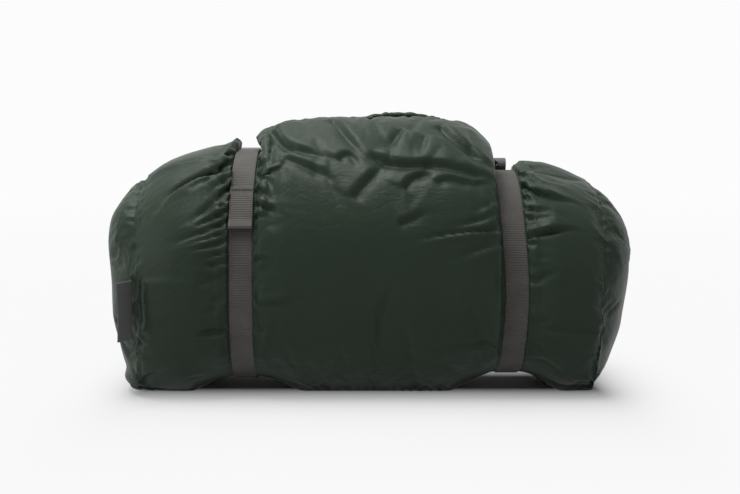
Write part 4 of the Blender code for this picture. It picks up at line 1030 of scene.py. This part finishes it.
def sack_cloth():
    """The whole sack's grid of points, as it stands cinched on its feet."""
    base = sack_rings()
    points = finer(filled_out(base))
    base = finer(base)
    points = creased(base, points)
    points[..., 2] += mouth_shape(base)
    close_up_to_straps(base, points)
    points[..., 2] = np.maximum(points[..., 2], 0)
    points = hang(points)
    foot = beside_straps(base)[1]
    for _ in range(24):
        smooth = (np.roll(points, 1, axis=0) + np.roll(points, -1, axis=0)) / 2
        points += 0.5 * foot[..., None] * (smooth - points)
    press_under_fittings(points)
    press_under_legs(points)
    return points


def make_sack():
    points = sack_cloth()
    uv = girth_uv(points)
    left, right = 2 * RINGS_DOME, 2 * (RINGS_DOME + RINGS_ALONG)
    for name, rows, node, poles in (
        ("left_end_panel", slice(0, left + 1), "sack_end_left", (0,)),
        ("sack_cloth", slice(left, right + 1), "sack_body", ()),
        ("right_end_panel", slice(right, None), "sack_end_right", (-1,)),
    ):
        piece = grid_piece(name, points[rows], uv[rows], poles=poles)
        finish_piece(piece, "sack", "green_cloth", node)
    return points


make_fly_roll()
SACK_POINTS = make_sack()


# Webbing


WEB_RIM = (  # a strip's section: shares of its half width and of its half thickness
    (-1, -0.35), (-0.93, -0.9), (-0.86, -1), (-0.5, -1), (0, -1), (0.5, -1), (0.86, -1), (0.93, -0.9),
    (1, -0.35), (1, 0.35), (0.93, 0.9), (0.86, 1), (0.5, 1), (0, 1), (-0.5, 1), (-0.86, 1), (-0.93, 0.9),
    (-1, 0.35),
)


def webbing_strip(name, line, across, width):
    """Ribbed webbing whose middle follows line, hung as the sack is; across is the way of its width."""
    line = hang(even_line(line, RIB / 4))
    across = np.broadcast_to(np.array(across, dtype=float), line.shape)
    out = unit(np.cross(unit(np.gradient(line, axis=0)), across))
    at = np.arange(len(line)) * RIB / 4
    rib = 1 - 0.26 * np.abs(np.sin(np.pi * at / RIB)) ** 0.8
    points = np.empty((len(line), len(WEB_RIM), 3))
    for j, (side, height) in enumerate(WEB_RIM):
        edge = 1 - 0.012 * np.cos(2 * np.pi * at / RIB) if abs(side) > 0.9 else 1.0
        reach = side * width / 2 * edge
        ribbed = rib if abs(side) < 0.9 else 0.86
        rise = height * WEB / 2 * ribbed
        points[:, j] = line + across * np.reshape(reach, (-1, 1)) + out * np.reshape(rise, (-1, 1))
    u = np.array([side * width / 2 for side, _ in WEB_RIM] + [-width / 2])
    uv = np.stack(np.broadcast_arrays(u[None, :], at[:, None]), axis=2)
    strip = grid_piece(name, points, uv, caps=True)
    face_out(strip)
    return strip


class StrapLine:
    """The sack's girth under a strap. Distances run from the buckle's seat towards its fixed half."""

    def __init__(self, side):
        seat, along, out = (np.array(value) for value in BUCKLES[side])
        ring = girth_ring(STRAP_X[side], 900)
        gap = ring - seat
        v, w = gap @ along, gap @ out
        over = np.where((np.abs(v) < 36 * MM) & (w > -6 * MM), np.maximum(w, 0), 0)
        ring = ring - over[:, None] * out
        near = np.where(w > -8 * MM, np.abs(v), 1)
        first = int(np.argmin(near))
        ring = np.roll(ring, -first, axis=0)
        if (ring[12] - ring[0]) @ along < 0:
            ring = np.roll(ring[::-1], 1, axis=0)
        self.seat, self.along, self.out = seat, along, out
        steps = np.linalg.norm(np.roll(ring, -1, axis=0) - ring, axis=1)
        self.run = np.cumsum(steps) - steps + (ring[0] - seat) @ along
        self.length = steps.sum()
        way = np.roll(ring, -1, axis=0) - np.roll(ring, 1, axis=0)
        for _ in range(6):
            way = (np.roll(way, 1, axis=0) + 2 * way + np.roll(way, -1, axis=0)) / 4
        sides = np.stack([-way[:, 1], way[:, 0]], axis=1)
        self.sides = unit(-sides if sides[0] @ out < 0 else sides)
        self.ring = ring

    def at(self, v, w):
        return self.seat + self.along * v + self.out * w

    def walk(self, level, start, end, lift=0.0):
        """Points at that level over the sack. Lift raises the last 9 mm, up to the end."""
        count = max(int(abs(end - start) / (1.5 * MM)), 2)
        found = []
        for place in np.linspace(start, end, count + 1):
            height = level + lift * eased(1 - abs(end - place) / (9 * MM))
            line = self.ring + self.sides * height
            found.append([np.interp(place, self.run, line[:, axis], period=self.length) for axis in (0, 1)])
        return [np.array(spot) for spot in found]


def strap_lines(side, tail):
    """The middles of the sewn webbing and of its tail, as (y, z) points."""
    girth = StrapLine(side)
    mm = [value * MM for value in (17.9, 23.7, 6.9, 31.7, 1.1, 3.0, -17.0, 40.0)]
    loop_v, past_v, over, ramp_v, first, second, web_end, sewn = mm
    web = girth.walk(second, sewn, ramp_v)
    web += [girth.at(past_v, over), girth.at(loop_v, over), girth.at(loop_v, first)]
    web += girth.walk(first, ramp_v, girth.length + web_end)
    rise_v, fall_v, low, top, third = (value * MM for value in (-17.8, -23.5, 2.2, 6.8, 4.9))
    loose = [girth.at(rise_v, low), girth.at(rise_v, top), girth.at(fall_v, top)]
    lift = 2.6 * MM
    loose += girth.walk(second, fall_v - WEB, -tail, lift)
    loose += girth.walk(third, -tail + TAIL_HEM, -tail, lift + 0.5 * MM)[::-1]
    return web, loose


def make_straps():
    for side, tail in TAILS.items():
        web, loose = strap_lines(side, tail)
        for label, line, node, body in (
            ("webbing", web, f"{side}_strap_web", "sack"),
            ("webbing_tail", loose, f"{side}_strap_tail", f"{side}_latch"),
        ):
            places = [(STRAP_X[side], y, z) for y, z in line]
            strip = webbing_strip(f"{side}_{label}", places, (1, 0, 0), WEB_WIDTH)
            finish_piece(strip, body, "webbing", node)


def make_haul_loop():
    middle = (HAUL_FOOT + HAUL_TOP) / 2
    level = GAP + WEB / 2
    line = []
    for z in np.linspace(HAUL_FOOT, HAUL_TOP, 24):
        rise = 3 * MM * falling(abs(z - middle), 24, 15)
        line.append((left_wall(z) - level - rise, 0, z))
    loop = webbing_strip("haul_loop_webbing", line, (0, 1, 0), HAUL_WIDTH)
    finish_piece(loop, "sack", "dark_webbing", "haul_loop")


make_straps()
make_haul_loop()


# Stitches


def bead():
    """Points and faces of one stitch, a unit long and a unit thick, which dives in at both ends."""
    sides, rows = 6, 4
    points = [(-0.5, 0, -0.35)]
    for i in range(1, rows):
        t = i / rows - 0.5
        radius = 0.5 * math.sqrt(1 - 4 * t * t)
        for j in range(sides):
            a = 2 * math.pi * j / sides
            points.append((t, radius * math.cos(a), radius * math.sin(a) + 0.35 - 2.8 * t * t))
    points.append((0.5, 0, -0.35))
    faces = []
    for j in range(sides):
        k = (j + 1) % sides
        faces.append((0, 1 + k, 1 + j))
        for i in range(rows - 2):
            a, b = 1 + i * sides, 1 + (i + 1) * sides
            faces.append((a + j, a + k, b + k, b + j))
        last = 1 + (rows - 2) * sides
        faces.append((last + j, last + k, len(points) - 1))
    return np.array(points), faces


def sew(name, places, ways, outs, length, thick, body, slot):
    """A row of stitches at places, each along its way and standing on the side of its out."""
    shape, faces = bead()
    verts, polygons, marks = [], [], []
    for place, way, out in zip(np.array(places), np.array(ways), np.array(outs)):
        way = way / np.linalg.norm(way)
        out = out - way * (out @ way)
        out = out / np.linalg.norm(out)
        side = np.cross(out, way)
        start = len(verts)
        for a, b, c in shape:
            verts.append(place + way * a * length + side * b * thick + out * c * thick)
        for face in faces:
            polygons.append(tuple(start + i for i in face))
            marks += [(shape[i][0] * length + start * thick, shape[i][1] * thick) for i in face]
    row = mesh_piece(name, verts, polygons, marks)
    face_out(row)
    finish_piece(row, body, slot, look="thread")


SEAM_PITCH, SEAM_STITCH, SEAM_THREAD = 3.4 * MM, 2.4 * MM, 0.55 * MM
TACK_PITCH, TACK_THREAD = 1.15 * MM, 0.75 * MM


def sew_seams():
    """Stitches beside both end seams, on the cloth that runs along the sack."""
    normals = grid_normals(SACK_POINTS)
    first = 2 * RINGS_DOME
    last = first + 2 * RINGS_ALONG
    for name, row in (("left_seam_stitches", first + 2), ("right_seam_stitches", last - 2)):
        ring, outs = SACK_POINTS[row], normals[row]
        ways = np.roll(ring, -1, axis=0) - ring
        steps = np.linalg.norm(ways, axis=1)
        run = np.cumsum(steps) - steps
        at = np.arange(0, steps.sum(), SEAM_PITCH)
        i = np.searchsorted(run, at, side="right") - 1
        places = ring[i] + ways[i] * ((at - run[i]) / steps[i])[:, None]
        sew(name, places, ways[i], outs[i], SEAM_STITCH, SEAM_THREAD, "sack", "green_cloth")


def tack(name, centre, across, along, out, wide, high, body, slot):
    """A bar tack: close stitches, side by side, over the end of a strip."""
    count = int(wide / TACK_PITCH)
    centre, across, along, out = (np.array(v, dtype=float) for v in (centre, across, along, out))
    places, ways = [], []
    for i in range(count):
        shift = (i / (count - 1) - 0.5) * wide
        lean = 0.28 if i % 2 else -0.28
        places.append(centre + across * shift + out * 0.1 * MM)
        ways.append(along + across * lean)
    sew(name, places, ways, [out] * count, high, TACK_THREAD, body, slot)


def sew_straps():
    for side, tail in TAILS.items():
        girth = StrapLine(side)
        x = STRAP_X[side]
        rows = (
            ("tail_tack", -tail + TAIL_HEM - 3 * MM, 5.7 * MM, f"{side}_latch"),
            ("hem_tack", -tail + 4.5 * MM, 5.7 * MM, f"{side}_latch"),
            ("sewn_tack", 36 * MM, 3.8 * MM, "sack"),
        )
        for label, where, level, body in rows:
            before, here, after = girth.walk(level, where - 1.5 * MM, where + 1.5 * MM)[:3]
            along = np.array((0, *(after - before)))
            along /= np.linalg.norm(along)
            out = np.cross(along, (1, 0, 0))
            if out[1:] @ (here - np.array((0, 100 * MM))) < 0:
                out = -out
            tack(
                f"{side}_{label}", (x, *here), (1, 0, 0), along, out, WEB_WIDTH - 3 * MM, 4.2 * MM,
                body, "webbing",
            )


def sew_haul_loop():
    for label, z in (("foot", HAUL_FOOT + 4 * MM), ("head", HAUL_TOP - 4 * MM)):
        below, above = left_wall(z - 1 * MM), left_wall(z + 1 * MM)
        along = np.array((above - below, 0, 2 * MM))
        along /= np.linalg.norm(along)
        out = np.array((-along[2], 0, along[0]))
        centre = np.array((left_wall(z), 0, z)) + out * (GAP + WEB)
        tack(
            f"haul_loop_{label}_tack", centre, (0, 1, 0), along, out, HAUL_WIDTH - 4 * MM, 4.5 * MM,
            "sack", "dark_webbing",
        )


# Gathered hem round the mouth, and the cord in it


HEM_RADIUS = 2.6 * MM


def mouth_line(step):
    """The hem's middle, from its right front end round to its right back end."""
    left, right = MOUTH_LEFT + 1 * MM, MOUTH_RIGHT - 10 * MM
    reach = 8.6 * MM
    turn = math.radians(16)
    flat = [(right + reach * math.sin(turn * s), -reach * math.cos(turn * s)) for s in (1, 0.5)]
    flat += [(x, -reach) for x in np.linspace(right, left, 90)]
    for a in np.linspace(0, math.pi, 12)[1:-1]:
        flat.append((left - reach * math.sin(a), -reach * math.cos(a)))
    flat += [(x, reach) for x in np.linspace(left, right, 90)]
    flat += [(right + reach * math.sin(turn * s), reach * math.cos(turn * s)) for s in (0.5, 1)]
    line = []
    for x, y in flat:
        back, front = (np.interp(x, MOUTH_EDGE[0], MOUTH_EDGE[row]) for row in (1, 2))
        share = (y / reach + 1) / 2
        sunk = 2.8 * MM * float(rising(x - right, -12, 14))
        line.append((x, y + MOUTH_Y, front + (back - front) * share - HEM_RADIUS - sunk))
    return even_line(line, step)


def make_hem():
    draw = random.Random(31)
    line = mouth_line(0.9 * MM)
    count, sides = len(line), 20
    at = np.arange(count) * 0.9 * MM
    bumps, place = np.zeros(count), -4 * MM
    lean = np.zeros(count)
    while place < at[-1]:
        wide, high = draw.uniform(3.5, 10) * MM, draw.uniform(0.2, 1.0)
        bumps = np.maximum(bumps, high * np.exp(-np.abs((at - place) / (0.62 * wide)) ** 2.4))
        lean += draw.uniform(-0.5, 0.5) * np.exp(-(((at - place) / wide) ** 2))
        place += wide * draw.uniform(1.15, 1.5)
    up = np.broadcast_to(np.array((0, 0, 1.0)), line.shape)
    across = unit(np.cross(unit(np.gradient(line, axis=0)), up))
    points = np.empty((count, sides, 3))
    for j in range(sides):
        a = 2 * math.pi * j / sides
        head = 0.5 + 0.5 * math.sin(a)
        radius = HEM_RADIUS - 0.7 * MM + (0.9 + 0.5 * head) * MM * bumps
        radius = radius * (1 + 0.05 * np.sin(at * 2 * np.pi / (2.3 * MM) + 2 * math.sin(a)))
        swing = across * (radius * (math.cos(a) + 0.5 * head * lean))[:, None]
        points[:, j] = line + swing + up * (radius * math.sin(a) * 0.98)[:, None]
    around = np.linspace(0, 21 * MM, sides + 1)
    uv = np.stack(np.broadcast_arrays(at[:, None], around[None, :]), axis=2)
    hem = grid_piece("gathered_hem", points, uv, caps=True)
    face_out(hem)
    finish_piece(hem, "sack", "green_cloth", "mouth_hem")
    cord = cord_curve("drawcord_in_hem", [tuple(p / MM) for p in line[2:-2:4]])
    finish_piece(as_mesh(cord), "sack", "black_cord", "drawcord_loop")


make_hem()


# Bare label sewn into the left seam


def make_label():
    fold = Matrix.Translation((-202 * MM, -92.1 * MM, 54 * MM))
    fold = fold @ Matrix.Rotation(math.atan2(0.0396, 0.9992), 4, "X")
    fold = fold @ Matrix.Rotation(-math.radians(26), 4, "Z")
    rows, columns = 41, 19
    wide, high = 21 * MM, 50 * MM
    points = np.empty((rows, columns, 3))
    uv = np.empty((rows, columns, 2))
    for i, z in enumerate(np.linspace(0, high, rows)):
        for j, y in enumerate(np.linspace(0, -wide, columns)):
            share = -y / wide
            curl = 0.9 * MM * share**2 * math.sin(3.0 * z / high + 0.4)
            curl += 0.12 * MM * math.sin(z / MM * 1.1) * (1 - share)
            points[i, j] = fold @ Vector((curl, y, z))
            uv[i, j] = (y, z)
    label = grid_piece("bare_label", points, uv, ring=False)
    thick = label.modifiers.new("thickness", "SOLIDIFY")
    thick.thickness = 0.8 * MM
    thick.offset = 0
    choose(label)
    bpy.ops.object.modifier_apply(modifier="thickness")
    face_out(label)
    finish_piece(label, "label", "label_cloth", "label_tag")


make_label()
sew_seams()
sew_straps()
sew_haul_loop()


# Light and floor


WORLD_FILL = 0.09
# The sack's footprint on the table, and how far the floor's darker band reaches from it: real shadow with
# painted shade over it.
SACK_FOOT = (0.2, 0.03, 0)
SHADOW_REACH = 0.085


def seen_directly(tree):
    """1 for what the camera sees straight, in a reflection or through something clear."""
    path = add_node(tree, "LightPath", {}).outputs
    seen = math_node(tree, "MAXIMUM", path["Is Camera Ray"], path["Is Transmission Ray"])
    return math_node(tree, "MAXIMUM", seen, path["Is Glossy Ray"])


def make_world():
    world = bpy.data.worlds.new("studio")
    bpy.context.scene.world = world
    world.use_nodes = True
    tree = world.node_tree
    strength = add_node(tree, "MapRange", {"Value": seen_directly(tree), "To Min": WORLD_FILL, "To Max": 1.0})
    values = {"Color": (0.975, 0.975, 0.98, 1), "Strength": strength.outputs[0]}
    feed(tree, tree.nodes["Background"], values)


def make_lamp(name, place, target, size, power):
    data = bpy.data.lights.new(name, "AREA")
    data.shape = "RECTANGLE"
    data.size, data.size_y = size
    data.energy = power
    lamp = add_object(name, data)
    lamp.location = place
    lamp.rotation_euler = (Vector(target) - Vector(place)).to_track_quat("-Z", "Y").to_euler()


def vector_node(tree, operation, a, b=None):
    values = {0: a} if b is None else {0: a, 1: b}
    outputs = add_node(tree, "VectorMath", values, operation=operation).outputs
    return outputs["Value"] if operation == "LENGTH" else outputs[0]


def make_floor():
    """A white table: it glows evenly where the camera sees it, but by the sack it fades into a grey shader
    that takes light and shadow, so the darker band there is partly real shadow and partly painted shade.
    """
    bpy.ops.object.select_all(action="DESELECT")
    bpy.ops.mesh.primitive_plane_add(size=12, location=(0, 0, 0))
    floor = bpy.context.active_object
    floor.name = "table_top"
    made = bpy.data.materials.new("white_table")
    made.use_nodes = True
    tree = made.node_tree
    shader = tree.nodes["Principled BSDF"]
    # The table's shader is grey, not white, so the floor is darker where it shows by the sack, even in full
    # light: painted shade.
    white = {"Base Color": (0.62, 0.62, 0.625, 1), "Roughness": 0.7, "Specular IOR Level": 0.2}
    feed(tree, shader, white)
    place = add_node(tree, "TexCoord", {}).outputs["Object"]
    beside = vector_node(tree, "ABSOLUTE", place)
    for operation, value in (("SUBTRACT", SACK_FOOT), ("MAXIMUM", (0, 0, 0)), ("MULTIPLY", (4, 1, 1))):
        beside = vector_node(tree, operation, beside, value)
    clear = vector_node(tree, "LENGTH", beside)
    # Close to the footprint the glow gives way to the grey shader: a band of painted shade round the sack,
    # over its real contact shadow.
    fade = math_node(tree, "EXPONENT", math_node(tree, "DIVIDE", clear, -SHADOW_REACH))
    share = math_node(tree, "MULTIPLY", seen_directly(tree), math_node(tree, "SUBTRACT", 1.0, fade))
    far = {"Value": vector_node(tree, "LENGTH", place), "From Min": 0.5, "From Max": 4.5}
    paler = {**far, "To Min": 1.0, "To Max": 1.028}
    strength = add_node(tree, "MapRange", paler, interpolation_type="SMOOTHSTEP").outputs[0]
    glow = add_node(tree, "Emission", {"Color": (0.95, 0.95, 0.955, 1), "Strength": strength})
    mix = add_node(tree, "MixShader", {0: share, 1: shader.outputs[0], 2: glow.outputs[0]})
    feed(tree, tree.nodes["Material Output"], {"Surface": mix.outputs[0]})
    floor.data.materials.append(made)


make_world()
make_floor()
make_lamp("overhead_softbox", (-0.31, -0.13, 1.28), (0, 0, 0), (1.05, 0.7), 17.5)
make_lamp("left_window", (-1.3, -0.7, 0.5), (0, 0, 0.1), (0.5, 0.7), 3)
bpy.context.scene.view_settings.view_transform = "Standard"

slots = {row["node"]: row["material_slot"] for row in frame["record"]["subparts"]}
for name, node in frame["nodes"].items():
    node.data.materials.clear()
    node.data.materials.append(MATERIALS[slots[name]])
